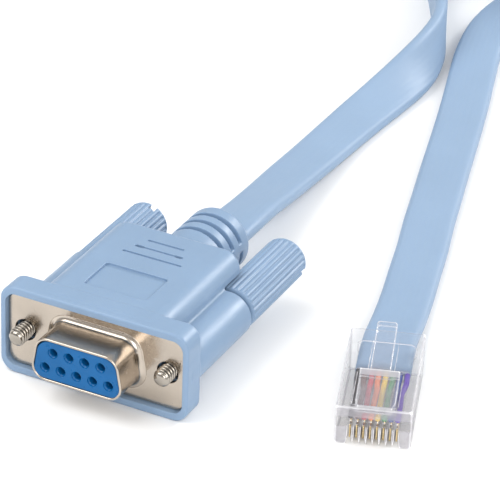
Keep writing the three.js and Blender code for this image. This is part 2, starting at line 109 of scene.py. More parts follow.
class HoodSizes(bpy.types.PropertyGroup):
    """Sizes of the moulded hood."""

    height: length("Height", "Of the flange and of the body", 15.4)
    flange_width: length("Flange width", "Across the frame round the plate", 33)
    body_width: length("Body width", "Across the body between the thumbscrews", 22.8)
    body_back: length("Body back", "From the plate to the body's back", 26.5)
    barrel_radius: length("Barrel radius", "Of the two screw barrels", 3.95)
    barrel_back: length("Barrel back", "From the plate to the barrels' ends", 20.4)
    boot_radius: length("Boot radius", "Of the round strain relief", 5.6)
    boot_back: length("Boot back", "From the plate to the boot's end", 41.2)
    panel_depth: length("Panel depth", "Of the sunk panel on the top", 0.4)


class SocketSizes(bpy.types.PropertyGroup):
    """Sizes of the D socket."""

    plate_width: length("Plate width", "Of the plated plate", 30.8)
    plate_height: length("Plate height", "Of the plated plate", 12.5)
    nose_width: length("Nose width", "Across the side with five holes", 15.7)
    nose_height: length("Nose height", "Of the drawn nose", 7.6)
    nose_reach: length("Nose reach", "How far the nose stands out", 6.17)
    contact_pitch: length("Contact pitch", "Between the contacts of a row", 2.77)


class ThumbscrewSizes(bpy.types.PropertyGroup):
    """Sizes of the two thumbscrews."""

    spacing: length("Spacing", "Between the two screws", 24.99)
    screw_radius: length("Screw radius", "Over the thread", 1.42)
    thread_pitch: length("Thread pitch", "Of the screw", 0.66)
    knob_radius: length("Knob radius", "Over the flutes", 3.75)
    knob_length: length("Knob length", "Of the fluted knob", 18.8)
    screw_tip: length("Screw tip", "How far the screws reach before the plate", 3.2)
    left_drawn: length("Left play", "How far the left thumbscrew sits back", 0)
    right_drawn: length("Right play", "How far the right thumbscrew sits back", 0.75)
    flutes: bpy.props.IntProperty(
        name="Flutes", description="Number round each knob", default=24, min=8, max=60
    )
    left_turn: bpy.props.FloatProperty(
        name="Left slot", description="Turn of its end slot", default=math.radians(70), unit="ROTATION"
    )
    right_turn: bpy.props.FloatProperty(
        name="Right slot", description="Turn of its end slot", default=math.radians(-21), unit="ROTATION"
    )


class CableSizes(bpy.types.PropertyGroup):
    """Sizes of the flat cable and of its coil."""

    width: length("Width", "Of the flat jacket", 8.7)
    thickness: length("Thickness", "Of the flat jacket", 2.4)
    length: length("Length", "Of the whole cable", 1800)
    coil_radius: length("Coil radius", "Of the outer turns' middle", 44.4)
    coil_inner: length("Coil inner radius", "Of the inner turns' middle", 36.2)
    turns: bpy.props.IntProperty(
        name="Turns", description="Whole turns beside the part turn", default=5, min=1, max=9
    )


class PlugSizes(bpy.types.PropertyGroup):
    """Sizes of the modular plug."""

    width: length("Width", "Of the body", 11.68)
    length: length("Length", "Of the body", 21.46)
    nose_height: length("Nose height", "At the contacts", 6.6)
    back_height: length("Back height", "At the cable", 7.7)
    latch_width: length("Latch width", "Of the latch up to its shoulder", 6.2)
    tail_width: length("Tail width", "Of the latch behind its shoulder", 3.2)


class Finishes(bpy.types.PropertyGroup):
    """Colours of the materials."""

    hood: colour("Hood", "Moulded vinyl of the hood and knobs", (0.213, 0.312, 0.45))
    jacket: colour("Jacket", "Vinyl of the flat cable", (0.24, 0.342, 0.483))
    insulator: colour("Insulator", "Block with the nine holes", (0.002, 0.105, 0.3))
    nickel: colour("Nickel", "Plated plate and nose", (0.55, 0.485, 0.415))
    screw: colour("Screw", "Turned screws", (0.4, 0.365, 0.32))
    contact: colour("Contact", "Gold-plated contacts", (0.8, 0.62, 0.33))
    clear: colour("Clear", "Moulded plug", (0.47, 0.46, 0.5))
    tie: colour("Tie", "Strap round the coil", (0.02, 0.02, 0.023))
    floor: colour("Floor", "Floor under the cable", (0.9, 0.9, 0.9))


WIRE_COLOURS = {
    "black": (0.02, 0.018, 0.018),
    "brown": (0.12, 0.05, 0.035),
    "red": (0.5, 0.035, 0.06),
    "orange": (0.85, 0.2, 0.03),
    "yellow": (0.85, 0.58, 0.05),
    "green": (0.03, 0.27, 0.08),
    "blue": (0.04, 0.09, 0.32),
    "purple": (0.09, 0.02, 0.42),
}


def mm(value):
    """A size property in millimetres."""
    return value * 1000


# Distance fields: negative inside a solid, in millimetres


def rounded_box(u, v, half_u, half_v, corner):
    """Distance to a rectangle with round corners."""
    a = np.abs(u) - (half_u - corner)
    b = np.abs(v) - (half_v - corner)
    outside = np.hypot(np.maximum(a, 0), np.maximum(b, 0))
    return outside + np.minimum(np.maximum(a, b), 0) - corner


def between(value, low, high):
    """Distance to the slab between two planes."""
    return np.maximum(low - value, value - high)


def both(a, b, edge):
    """What two solids share, its edge rounded."""
    outside = np.hypot(np.maximum(edge + a, 0), np.maximum(edge + b, 0))
    return np.minimum(np.maximum(a, b), -edge) + outside


def either(a, b, fillet):
    """Two solids joined, with a fillet in the corner between them."""
    inside = np.hypot(np.maximum(fillet - a, 0), np.maximum(fillet - b, 0))
    return np.maximum(np.minimum(a, b), fillet) - inside


def without(a, b, edge):
    """The first solid with the second cut out of it."""
    return both(a, -b, edge)


def spaced(start, *stretches):
    """Grid lines from start: each stretch is (its end, the step in it)."""
    lines = [start]
    for end, step in stretches:
        count = max(1, round((end - lines[-1]) / step))
        lines.extend(np.linspace(lines[-1], end, count + 1)[1:])
    return np.array(lines)


def slopes(field, points, reach=0.01):
    """The field's gradient at points."""
    columns = []
    for axis in range(3):
        step = np.zeros(3)
        step[axis] = reach
        columns.append((field(*(points + step).T) - field(*(points - step).T)) / (2 * reach))
    return np.stack(columns, axis=1)


def skin(field, xs, ys, zs):
    """Points, quads and normals of a field's surface, one point in each cell that it crosses."""
    grid = np.meshgrid(xs, ys, zs, indexing="ij")
    values = field(*(g.astype(np.float32) for g in grid))
    inside = values < 0
    cells = tuple(n - 1 for n in inside.shape)
    corners = [(i, j, k) for i in (0, 1) for j in (0, 1) for k in (0, 1)]

    def corner(array, offset):
        return array[tuple(slice(o, o + n) for o, n in zip(offset, cells))]

    filled = sum(corner(inside, c).astype(np.int8) for c in corners)
    crossed = (filled > 0) & (filled < 8)
    number = np.full(cells, -1, np.int64)
    number[crossed] = np.arange(crossed.sum())
    place = np.argwhere(crossed)
    total = np.zeros((len(place), 3))
    hits = np.zeros(len(place))
    axes = (xs, ys, zs)
    for axis in range(3):
        for start in (c for c in corners if c[axis] == 0):
            end = list(start)
            end[axis] = 1
            a = values[tuple((place + start).T)]
            b = values[tuple((place + end).T)]
            hit = (a < 0) != (b < 0)
            share = np.where(hit, a / np.where(hit, a - b, 1), 0)
            for k in range(3):
                low = axes[k][place[:, k] + start[k]]
                high = axes[k][place[:, k] + end[k]]
                total[:, k] += hit * (low + share * (high - low))
            hits += hit
    points = total / hits[:, None]

    quads = []
    for axis in range(3):
        first, second = (axis + 1) % 3, (axis + 2) % 3
        here = [slice(1, -1)] * 3
        here[axis] = slice(0, -1)
        there = list(here)
        there[axis] = slice(1, None)
        low, high = inside[tuple(here)], inside[tuple(there)]
        for leaving in (True, False):
            edge = np.argwhere((low != high) & (low == leaving))
            edge[:, first] += 1
            edge[:, second] += 1
            ring = []
            for step_first, step_second in ((-1, -1), (0, -1), (0, 0), (-1, 0)):
                cell = edge.copy()
                cell[:, first] += step_first
                cell[:, second] += step_second
                ring.append(number[tuple(cell.T)])
            quads.append(np.stack(ring if leaving else ring[::-1], axis=1))
    quads = np.concatenate(quads)

    near = 0.6 * max(np.diff(a).min() for a in axes)
    for _ in range(3):
        slope = slopes(field, points)
        size = np.maximum((slope**2).sum(1), 0.05)
        move = np.clip(field(*points.T) / size, -near, near)
        points = points - slope * move[:, None]
    normals = slopes(field, points, 0.02)
    normals /= np.maximum(np.linalg.norm(normals, axis=1), 1e-6)[:, None]
    return points, quads, normals


# Meshes


def to_row(points):
    """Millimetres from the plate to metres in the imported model's frame."""
    return (np.asarray(points, float) + (0, ROW_SHIFT, 0)) / 1000


PLUG_TURN = math.radians(19.3)
PLUG_PLACE = (43.53, 7.89)
PLUG_AXES = np.array((
    (math.cos(PLUG_TURN), math.sin(PLUG_TURN), 0),
    (-math.sin(PLUG_TURN), math.cos(PLUG_TURN), 0),
    (0, 0, 1),
))


def from_plug(points):
    """The plug's own millimetres, from its nose, to those from the plate."""
    return np.asarray(points, float) @ PLUG_AXES + (*PLUG_PLACE, 0)


def make_mesh(name, points, faces, normals=None, uvs=None):
    """An object from points in the row's metres."""
    mesh = bpy.data.meshes.new(name)
    mesh.from_pydata([tuple(p) for p in points], [], [tuple(int(i) for i in f) for f in faces])
    mesh.polygons.foreach_set("use_smooth", [True] * len(mesh.polygons))
    if uvs is not None:
        layer = mesh.uv_layers.new(name="along")
        corners = np.zeros(len(mesh.loops), np.int32)
        mesh.loops.foreach_get("vertex_index", corners)
        layer.data.foreach_set("uv", np.asarray(uvs, np.float32)[corners].ravel())
    mesh.validate()
    if normals is not None:
        mesh.normals_split_custom_set_from_vertices([tuple(n) for n in normals])
    obj = bpy.data.objects.new(name, mesh)
    bpy.context.scene.collection.objects.link(obj)
    return obj


def settle(obj, body, slot, material, *nodes):
    """Gives a piece its body, its finish and the nodes that it stands for."""
    obj.data.materials.clear()
    obj.data.materials.append(material)
    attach(obj, body)
    if nodes:
        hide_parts(*nodes)
    return obj


def solid(name, field, lines, in_plug=False):
    """A mesh of a distance field on the grid lines given."""
    points, quads, normals = skin(field, *lines)
    if in_plug:
        points = from_plug(points)
        normals = normals @ PLUG_AXES
    return make_mesh(name, to_row(points), quads, normals)


def tube(name, rings, closed=False, caps=True, uvs=None, normals=None):
    """A mesh through rings of points, in millimetres from the plate."""
    rings = np.asarray(rings, float)
    count, sides = rings.shape[:2]
    faces = []
    for i in range(count if closed else count - 1):
        j = (i + 1) % count
        for k in range(sides):
            n = (k + 1) % sides
            faces.append((i * sides + k, j * sides + k, j * sides + n, i * sides + n))
    if caps and not closed:
        faces.append(tuple(range(sides)))
        faces.append(tuple(range((count - 1) * sides, count * sides))[::-1])
    return make_mesh(name, to_row(rings.reshape(-1, 3)), faces, normals, uvs)


def outward(obj):
    """Turns every face to point out."""
    work = bmesh.new()
    work.from_mesh(obj.data)
    bmesh.ops.recalc_face_normals(work, faces=work.faces)
    work.to_mesh(obj.data)
    work.free()
    return obj


def soften_edges(obj, width, segments=2, angle=30):
    """Small rounds on the sharp edges, in metres."""
    bevel = obj.modifiers.new("edge rounds", "BEVEL")
    bevel.width = width
    bevel.segments = segments
    bevel.limit_method = "ANGLE"
    bevel.angle_limit = math.radians(angle)
    bevel.harden_normals = False
    weighted = obj.modifiers.new("even shading", "WEIGHTED_NORMAL")
    weighted.keep_sharp = True
    return obj


# Materials


class Shader:
    """A material under construction, with its Principled node at hand."""

    def __init__(self, name, base, roughness, metallic=0.0):
        self.material = bpy.data.materials.new(name)
        self.material.use_nodes = True
        self.nodes = self.material.node_tree.nodes
        self.links = self.material.node_tree.links
        self.surface = self.nodes["Principled BSDF"]
        self.set("Base Color", (*base, 1))
        self.set("Roughness", roughness)
        self.set("Metallic", metallic)
        self.material.diffuse_color = (*base, 1)
        self.coordinates = self.add("ShaderNodeTexCoord")

    def add(self, kind, **settings):
        """A new node."""
        node = self.nodes.new(kind)
        for key, value in settings.items():
            setattr(node, key, value)
        return node

    def set(self, socket, value):
        """A plain value on the surface."""
        self.surface.inputs[socket].default_value = value

    def link(self, source, target):
        """Joins an output to an input."""
        self.links.new(source, target)

    def drive(self, socket, source):
        """Joins an output to the surface."""
        self.link(source, self.surface.inputs[socket])

    def noise(self, scale, detail=3, stretch=(1, 1, 1), roughness=0.5):
        """Noise in the part's own space, its scale in waves to the metre."""
        mapping = self.add("ShaderNodeMapping")
        mapping.inputs["Scale"].default_value = stretch
        self.link(self.coordinates.outputs["Object"], mapping.inputs["Vector"])
        node = self.add("ShaderNodeTexNoise")
        node.inputs["Scale"].default_value = scale
        node.inputs["Detail"].default_value = detail
        node.inputs["Roughness"].default_value = roughness
        self.link(mapping.outputs[0], node.inputs["Vector"])
        return node.outputs["Fac"]

    def span(self, source, low, high, to_low, to_high):
        """A value carried from one range to another."""
        node = self.add("ShaderNodeMapRange")
        for name, value in (
            ("From Min", low), ("From Max", high), ("To Min", to_low), ("To Max", to_high),
        ):
            node.inputs[name].default_value = value
        self.link(source, node.inputs["Value"])
        return node.outputs["Result"]

    def tint(self, factor, first, second):
        """A colour between two, by a factor."""
        node = self.add("ShaderNodeMix", data_type="RGBA")
        self.link(factor, node.inputs["Factor"])
        for socket, value in ((node.inputs[6], first), (node.inputs[7], second)):
            if hasattr(value, "links"):
                self.link(value, socket)
            else:
                socket.default_value = (*value, 1)
        return node.outputs[2]

    def calc(self, operation, *values, clamp=False):
        """Arithmetic on values or outputs."""
        node = self.add("ShaderNodeMath", operation=operation, use_clamp=clamp)
        for socket, value in zip(node.inputs, values):
            if hasattr(value, "links"):
                self.link(value, socket)
            else:
                socket.default_value = value
        return node.outputs[0]

    def plug_frame(self):
        """The place in the plug's own frame in millimetres, and the surface's direction there."""
        place = self.add("ShaderNodeMapping", vector_type="TEXTURE")
        place.inputs["Location"].default_value = to_row(from_plug([(0, 0, 0)]))[0]
        place.inputs["Rotation"].default_value = (0, 0, PLUG_TURN)
        place.inputs["Scale"].default_value = (0.001, 0.001, 0.001)
        self.link(self.coordinates.outputs["Object"], place.inputs["Vector"])
        parts = self.add("ShaderNodeSeparateXYZ")
        self.link(place.outputs[0], parts.inputs[0])
        facing = self.add("ShaderNodeMapping", vector_type="VECTOR")
        facing.inputs["Rotation"].default_value = (0, 0, -PLUG_TURN)
        self.link(self.coordinates.outputs["Normal"], facing.inputs["Vector"])
        return parts, facing.outputs[0]

    def bump(self, height, distance, strength=1.0, after=None):
        """The surface's direction under small relief, its distance in metres."""
        node = self.add("ShaderNodeBump")
        node.inputs["Strength"].default_value = strength
        node.inputs["Distance"].default_value = distance
        self.link(height, node.inputs["Height"])
        if after is not None:
            self.link(after, node.inputs["Normal"])
        return node.outputs["Normal"]

    def glow(self, weight):
        """Light that enters soft vinyl and leaves it close by."""
        self.set("Subsurface Weight", weight)
        self.set("Subsurface Radius", (0.0008, 0.001, 0.0014))
        self.set("Subsurface Scale", 1.0)


def shade(base, factor):
    """A colour made lighter or darker."""
    return tuple(min(1, c * factor) for c in base)


def vinyl(name, base, roughness=0.4, grain=0.000012):
    """Soft moulded vinyl: cloudy tone, fine mould grain, rubbed edges, painted shade in grooves and small
    scuffs.
    """
    s = Shader(name, base, roughness)
    cloud = s.span(s.noise(90, 4), 0.3, 0.7, 0, 1)
    tone = s.tint(cloud, shade(base, 0.965), shade(base, 1.03))
    sharpness = s.add("ShaderNodeNewGeometry").outputs["Pointiness"]
    tone = s.tint(s.span(sharpness, 0.52, 0.6, 0, 0.35), tone, shade(base, 1.25))
    # Painted shade: where the surface is hollow, in grooves and creases, the colour turns darker and deeper
    # blue.
    deep = (base[0] * 0.25, base[1] * 0.5, base[2] * 0.75)
    tone = s.tint(s.span(sharpness, 0.4, 0.475, 0.6, 0), tone, deep)
    s.drive("Base Color", tone)
    scuff = s.noise(400, 5, (1, 0.25, 1), 0.7)
    s.drive("Roughness", s.span(scuff, 0.35, 0.75, roughness - 0.06, roughness + 0.1))
    fine = s.bump(s.noise(9000, 2), grain, 0.5)
    s.drive("Normal", s.bump(s.noise(260, 2), 0.00004, 0.35, fine))
    s.set("Specular IOR Level", 0.45)
    s.glow(0.12)
    return s.material


def jacket_vinyl(name, base):
    """The cable's jacket: satin vinyl with faint lines of the eight wires under it."""
    s = Shader(name, base, 0.36)
    uv = s.add("ShaderNodeSeparateXYZ")
    s.link(s.coordinates.outputs["UV"], uv.inputs[0])
    cloud = s.span(s.noise(70, 4), 0.3, 0.7, 0, 1)
    s.drive("Base Color", s.tint(cloud, shade(base, 0.965), shade(base, 1.025)))
    wave = s.calc("MULTIPLY", uv.outputs["Y"], len(WIRES) * math.pi)
    ridges = s.bump(s.calc("SINE", wave), 0.000012, 0.5)
    fine = s.bump(s.noise(7000, 2), 0.00001, 0.4, ridges)
    s.drive("Normal", s.bump(s.noise(150, 3), 0.00006, 0.4, fine))
    scuff = s.noise(300, 5, (1, 0.2, 1), 0.7)
    s.drive("Roughness", s.span(scuff, 0.35, 0.75, 0.46, 0.6))
    s.set("Specular IOR Level", 0.5)
    s.glow(0.1)
    return s.material


def plated(name, base, roughness=0.2, grain=(1, 1, 1), waviness=0.00006):
    """Nickel or gold plate over drawn metal: soft waves, fine scratches and a warm cast."""
    s = Shader(name, base, roughness, 1.0)
    cloud = s.span(s.noise(160, 4), 0.35, 0.65, 0, 1)
    tone = s.tint(cloud, shade(base, 0.93), shade(base, 1.05))
    s.drive("Base Color", tone)
    scratch = s.noise(2600, 4, grain, 0.65)
    s.drive("Roughness", s.span(scratch, 0.3, 0.75, roughness * 0.8, roughness * 1.5))
    fine = s.bump(scratch, 0.000006, 0.5)
    s.drive("Normal", s.bump(s.noise(220, 2), waviness, 0.5, fine))
    return s.material


def hard_plastic(name, base, roughness=0.32):
    """Glossy moulded thermoplastic with a faint flow pattern."""
    s = Shader(name, base, roughness)
    cloud = s.span(s.noise(320, 4), 0.3, 0.7, 0, 1)
    s.drive("Base Color", s.tint(cloud, shade(base, 0.93), shade(base, 1.08)))
    s.drive("Roughness", s.span(s.noise(900, 3), 0.3, 0.7, roughness - 0.06, roughness + 0.08))
    s.drive("Normal", s.bump(s.noise(5200, 2), 0.000008, 0.5))
    s.set("Specular IOR Level", 0.3)
    return s.material


def clear_plastic(name, base, bar=None):
    """Clear moulded plastic: a veil that is thin over the jacket and denser in walls and nose.

    The white edges are painted highlights, placed by the shape's own sharpness; bar is the reach of a frosted
    bar."""
    s = Shader(name, base, 0.08)
    place, facing = s.plug_frame()
    # Painted highlight: the sharp edges are picked out to be made white and opaque.
    edge = s.span(s.add("ShaderNodeNewGeometry").outputs["Pointiness"], 0.505, 0.56, 0, 1)
    cloud = s.span(s.noise(420, 4), 0.35, 0.7, 0, 1)
    across = s.calc("ABSOLUTE", place.outputs["X"])
    along, up = place.outputs["Y"], place.outputs["Z"]
    veils = s.add("ShaderNodeCombineXYZ")
    s.link(s.span(across, 5.0, 5.6, 0.03, 0.42), veils.inputs["X"])
    above_bay = s.span(up, 4.5, 5.0, 0.1, 0.5)
    below_bay = s.span(up, 2.9, 3.3, 0.55, 0)
    outside = s.span(along, 0.5, 1.2, 1, 0.12)
    s.link(s.calc("MULTIPLY", s.calc("ADD", above_bay, below_bay), outside), veils.inputs["Y"])
    s.link(s.span(along, 8.5, 10.5, 0.17, 0.06), veils.inputs["Z"])
    weight = s.add("ShaderNodeVectorMath", operation="MULTIPLY")
    s.link(facing, weight.inputs[0])
    s.link(facing, weight.inputs[1])
    veil = s.add("ShaderNodeVectorMath", operation="DOT_PRODUCT")
    s.link(weight.outputs["Vector"], veil.inputs[0])
    s.link(veils.outputs["Vector"], veil.inputs[1])
    hazy = s.calc("MULTIPLY", veil.outputs["Value"], s.span(s.noise(700, 3), 0.3, 0.75, 0.8, 1.3))
    # Alpha is opaque along the painted highlight edges and, when given, in the frosted bar.
    solid_look = edge
    if bar:
        start, end = bar
        frosted = s.calc("MULTIPLY", s.span(along, start, start + 0.2, 0, 0.75), s.span(up, 7.2, 7.6, 0, 1))
        frosted = s.calc("MULTIPLY", frosted, s.span(along, end - 0.2, end, 1, 0))
        solid_look = s.calc("MAXIMUM", edge, frosted)
    tone = s.tint(cloud, base, shade(base, 0.9))
    # Painted highlight: the colour turns white along the sharp edges.
    s.drive("Base Color", s.tint(edge, tone, (0.93, 0.93, 0.95)))
    s.drive("Alpha", s.calc("MULTIPLY_ADD", solid_look, 0.75, hazy, clamp=True))
    s.drive("Roughness", s.span(s.noise(1500, 4), 0.35, 0.75, 0.05, 0.18))
    s.drive("Normal", s.bump(s.noise(420, 2), 0.00003, 0.35))
    s.set("IOR", 1.58)
    s.material.surface_render_method = "BLENDED"
    return s.material


def strap(name, base):
    """Woven nylon strap."""
    s = Shader(name, base, 0.75)
    weave = s.noise(3800, 2, (1, 1, 1), 0.6)
    s.drive("Base Color", s.tint(s.span(weave, 0.3, 0.7, 0, 1), base, shade(base, 2.6)))
    s.drive("Normal", s.bump(weave, 0.00008, 0.8))
    s.drive("Roughness", s.span(weave, 0.3, 0.7, 0.6, 0.85))
    s.set("Sheen Weight", 0.25)
    return s.material


# Pieces


class Build:
    """What every operator here shares."""

    bl_options = {"REGISTER", "UNDO"}

    def execute(self, context):
        self.build(context.scene.console_cable)
        return {"FINISHED"}


def stand(obj, right, up, back, place):
    """Puts a camera or lamp in the scene, looking away from back."""
    bpy.context.scene.collection.objects.link(obj)
    obj.matrix_world = Matrix((*zip(right, up, back, place), (0, 0, 0, 1)))


CAMERA_LENS = 229.836
CAMERA_SENSOR = 36
CAMERA_PLACE = (204.56936, -363.74761, 265.16554)  # millimetres from the plate
CAMERA_WAYS = (
    (0.88922378, 0.45647412, 0.03020665),
    (-0.25040843, 0.43041628, 0.86720093),
    (0.38285335, -0.77869969, 0.49704136),
)


class BuildCamera(Build, bpy.types.Operator):
    """Place the camera at the photograph's viewing angle"""

    bl_idname = "console_cable.camera"
    bl_label = "Camera"

    def build(self, props):
        data = bpy.data.cameras.new("camera")
        data.sensor_width = CAMERA_SENSOR
        data.lens = CAMERA_LENS
        data.clip_end = 20
        camera = bpy.data.objects.new("camera", data)
        stand(camera, *CAMERA_WAYS, to_row(CAMERA_PLACE))
        bpy.context.scene.camera = camera


def smooth_curve(points, steps):
    """A centripetal curve through points of any dimension, with steps between each two."""
    p = np.asarray(points, float)
    p = np.vstack((2 * p[0] - p[1], p, 2 * p[-1] - p[-2]))
    line = []
    for a, b, c, d in zip(p, p[1:], p[2:], p[3:]):
        ta, tb, tc = (math.dist(u[:3], v[:3]) ** 0.5 for u, v in ((a, b), (b, c), (c, d)))
        leaving = (b - a) / ta - (c - a) / (ta + tb) + (c - b) / tb
        arriving = (c - b) / tb - (d - b) / (tb + tc) + (d - c) / tc
        for t in np.linspace(0, 1, steps, endpoint=False):
            line.append(
                b * (1 + 2 * t) * (1 - t) ** 2
                + leaving * tb * t * (1 - t) ** 2
                + c * t * t * (3 - 2 * t)
                - arriving * tb * t * t * (1 - t)
            )
    line.append(p[-2])
    return np.array(line)


def travelled(line):
    """How far each point of a line is along it."""
    return np.concatenate(([0], np.cumsum(np.linalg.norm(np.diff(line, axis=0), axis=1))))


def ways(line):
    """The ways along, across and over a line, at each of its points."""
    along = np.gradient(line, axis=0)
    along /= np.linalg.norm(along, axis=1)[:, None]
    across = np.cross(along, (0, 0, 1))
    across /= np.linalg.norm(across, axis=1)[:, None]
    return along, across, np.cross(across, along)


def even(line, step):
    """The same line with even steps."""
    gone = travelled(line[:, :3])
    count = int(round(gone[-1] / step)) + 1
    at = np.linspace(0, gone[-1], count)
    return np.stack([np.interp(at, gone, line[:, k]) for k in range(line.shape[1])], axis=1), at


# The spare cable's coil, in millimetres from the plate
COIL_CENTRE = (0, 224)
COIL_ENTRY = -151.3  # degrees round the coil where the hood's stretch joins it
COIL_EXIT = -50  # degrees where the plug's stretch leaves it
LOWER_LAYER = 5.2
UPPER_LAYER = 14.05


def ease(t):
    """A smooth step from 0 to 1."""
    t = np.clip(t, 0, 1)
    return t * t * (3 - 2 * t)


def coil_points(props):
    """The coil's turns, on edge: inwards in the lower layer, up, and outwards in the upper."""
    outer, inner = mm(props.coil_radius), mm(props.coil_inner)
    part = (COIL_ENTRY - COIL_EXIT) % 360
    turning = 360 * props.turns + part
    points = []
    straight, climb = 25, 110  # degrees of turn
    for gone in np.arange(0, turning + 0.01, turning / (props.turns * 24)):
        half = (turning - climb) / 2
        inwards = np.clip((gone - straight) / (half - straight), 0, 1)
        outwards = np.clip((gone - half - climb) / (half - straight), 0, 1)
        radius = outer - (outer - inner) * (inwards - outwards)
        height = LOWER_LAYER + (UPPER_LAYER - LOWER_LAYER) * ease((gone - half) / climb)
        angle = math.radians(COIL_ENTRY - gone)
        points.append((
            COIL_CENTRE[0] + radius * math.cos(angle),
            COIL_CENTRE[1] + radius * math.sin(angle),
            height,
            -90,
        ))
    return points


def cable_line(props):
    """The whole cable's middle line and its roll, from the hood to the plug."""
    back = [(x, y, z, -roll) for x, y, z, roll in reversed(PLUG_STRETCH)]
    return smooth_curve([*HOOD_STRETCH, *coil_points(props), *back], 8)


class BuildCable(Build, bpy.types.Operator):
    """Build the flat cable, one length from the hood to the plug"""

    bl_idname = "console_cable.cable"
    bl_label = "Flat cable"

    def build(self, props):
        cable = props.cable
        line, gone = even(cable_line(cable), 2.0)
        middle = line[:, :3]
        along, across, over = ways(middle)
        roll = np.radians(line[:, 3])[:, None]
        wide = across * np.cos(roll) + over * np.sin(roll)
        thick = np.cross(along, wide)
        half_width, half_height = mm(cable.width) / 2, mm(cable.thickness) / 2
        section = self.section(half_width, half_height)
        rings = (
            middle[:, None]
            + wide[:, None] * section[None, :, :1]
            + thick[:, None] * section[None, :, 1:2]
        )
        sides = len(section)
        uvs = np.zeros((len(rings), sides, 2))
        uvs[..., 0] = gone[:, None] / 1000
        uvs[..., 1] = section[None, :, 0] / half_width
        obj = tube("flat_cable", rings, uvs=uvs.reshape(-1, 2))
        outward(obj)
        settle(
            obj, ROOT, "cable_jacket", jacket_vinyl("jacket vinyl", props.finish.jacket),
            "cable_hood_stretch", "cable_coil", "cable_plug_stretch",
        )

    @staticmethod
    def section(half_width, half_height):
        """The jacket's outline: flat faces, with a full round at each edge."""
        radius = half_height * 0.92
        points = []
        for corner_x, corner_z, start in ((1, 1, 90), (1, -1, 0), (-1, -1, -90), (-1, 1, -180)):
            for turn in (0, -22.5, -45, -67.5, -90):
                angle = math.radians(start + turn)
                points.append((
                    corner_x * (half_width - radius) + radius * math.cos(angle),
                    corner_z * (half_height - radius) + radius * math.sin(angle),
                ))
        flat = []
        for a, b in zip(points, points[1:] + points[:1]):
            flat.append(a)
            steps = int(abs(b[0] - a[0]) / 1.1)
            flat.extend(
                (a[0] + (b[0] - a[0]) * k / (steps + 1), a[1] + (b[1] - a[1]) * k / (steps + 1))
                for k in range(1, steps + 1)
            )
        return np.array(flat)


def round_corners(half_width, half_height, corner, count):
    """The points of a rectangle with round corners, each with its way out."""
    points = []
    for side_x, side_z, start in ((1, 1, 0), (-1, 1, 90), (-1, -1, 180), (1, -1, 270)):
        for turn in np.linspace(0, 90, count):
            a = math.radians(start + turn)
            points.append((
                side_x * (half_width - corner) + corner * math.cos(a),
                side_z * (half_height - corner) + corner * math.sin(a),
                math.cos(a),
                math.sin(a),
            ))
    return points


TIE_ANGLES = (20, 200)  # degrees round the coil
COIL_REACH = (34.7, 45.9)  # from the coil's centre to its turns' inner and outer faces
COIL_RISE = (0.8, 18.5)  # from the floor to its turns' lower and upper edges


class BuildTies(Build, bpy.types.Operator):
    """Build the two straps round the coil"""

    bl_idname = "console_cable.ties"
    bl_label = "Coil straps"

    def build(self, props):
        material = strap("strap nylon", props.finish.tie)
        (inner, outer), (low, high) = COIL_REACH, COIL_RISE
        gap, thick, half_wide = 0.12, 0.42, 3
        section = round_corners((outer - inner) / 2 + gap, (high - low) / 2 + gap, 0.9, 7)
        loop = []
        for a, b in zip(section, section[1:] + section[:1]):
            steps = max(1, int(math.dist(a[:2], b[:2]) / 0.5))
            for k in range(steps):
                loop.append([a[n] + (b[n] - a[n]) * k / steps for n in range(4)])
        loop = np.array(loop)
        gone = travelled(loop[:, :2])
        rib = 0.06 * (0.5 + 0.5 * np.cos(gone * 2 * math.pi))
        lapped = 0.22 * ease((gone - 3) / 1.2) * ease((13 - gone) / 0.8)
        profile = [(-half_wide, 0), (half_wide, 0), (half_wide, 0.7), (2.8, 1), (-2.8, 1), (-half_wide, 0.7)]
        up_way = np.array((0, 0, 1))
        for index, angle in enumerate(TIE_ANGLES):
            turn = math.radians(angle)
            out_way = np.array((math.cos(turn), math.sin(turn), 0))
            side_way = np.array((-math.sin(turn), math.cos(turn), 0))
            centre = np.array((*COIL_CENTRE, (low + high) / 2)) + out_way * (inner + outer) / 2
            rings = []
            for (r, z, nr, nz), ridge, lap in zip(loop, rib, lapped):
                ring = []
                for side, level in profile:
                    depth = level * (thick + lap - ridge)
                    place = centre + out_way * (r + nr * depth) + up_way * (z + nz * depth)
                    ring.append(place + side_way * side)
                rings.append(ring)
            obj = outward(tube(f"coil_strap_{index + 1}", rings, closed=True))
            settle(obj, ROOT, "tie_plastic", material, f"coil_tie_{index + 1}")


NOSE_SLOPE = math.radians(10)
NOSE_CORNER = 2.4
NOSE_WALL = 0.4
PLATE_CORNER = 1.8
PLATE_THICKNESS = 0.8
ROW_RISE = 1.42  # from the socket's middle to either row of contacts
PANEL_PLACE = 9.35  # the sunk panel's middle behind the plate
PANEL_HALVES = (5.45, 3.7)
BOOT_GROOVES = (32.75, 35.35, 37.95)  # millimetres behind the plate
TOP_LINES = ((17.6, 10.4), (19.95, 8.4), (22.3, 6.4))  # each line's place behind the plate and its width


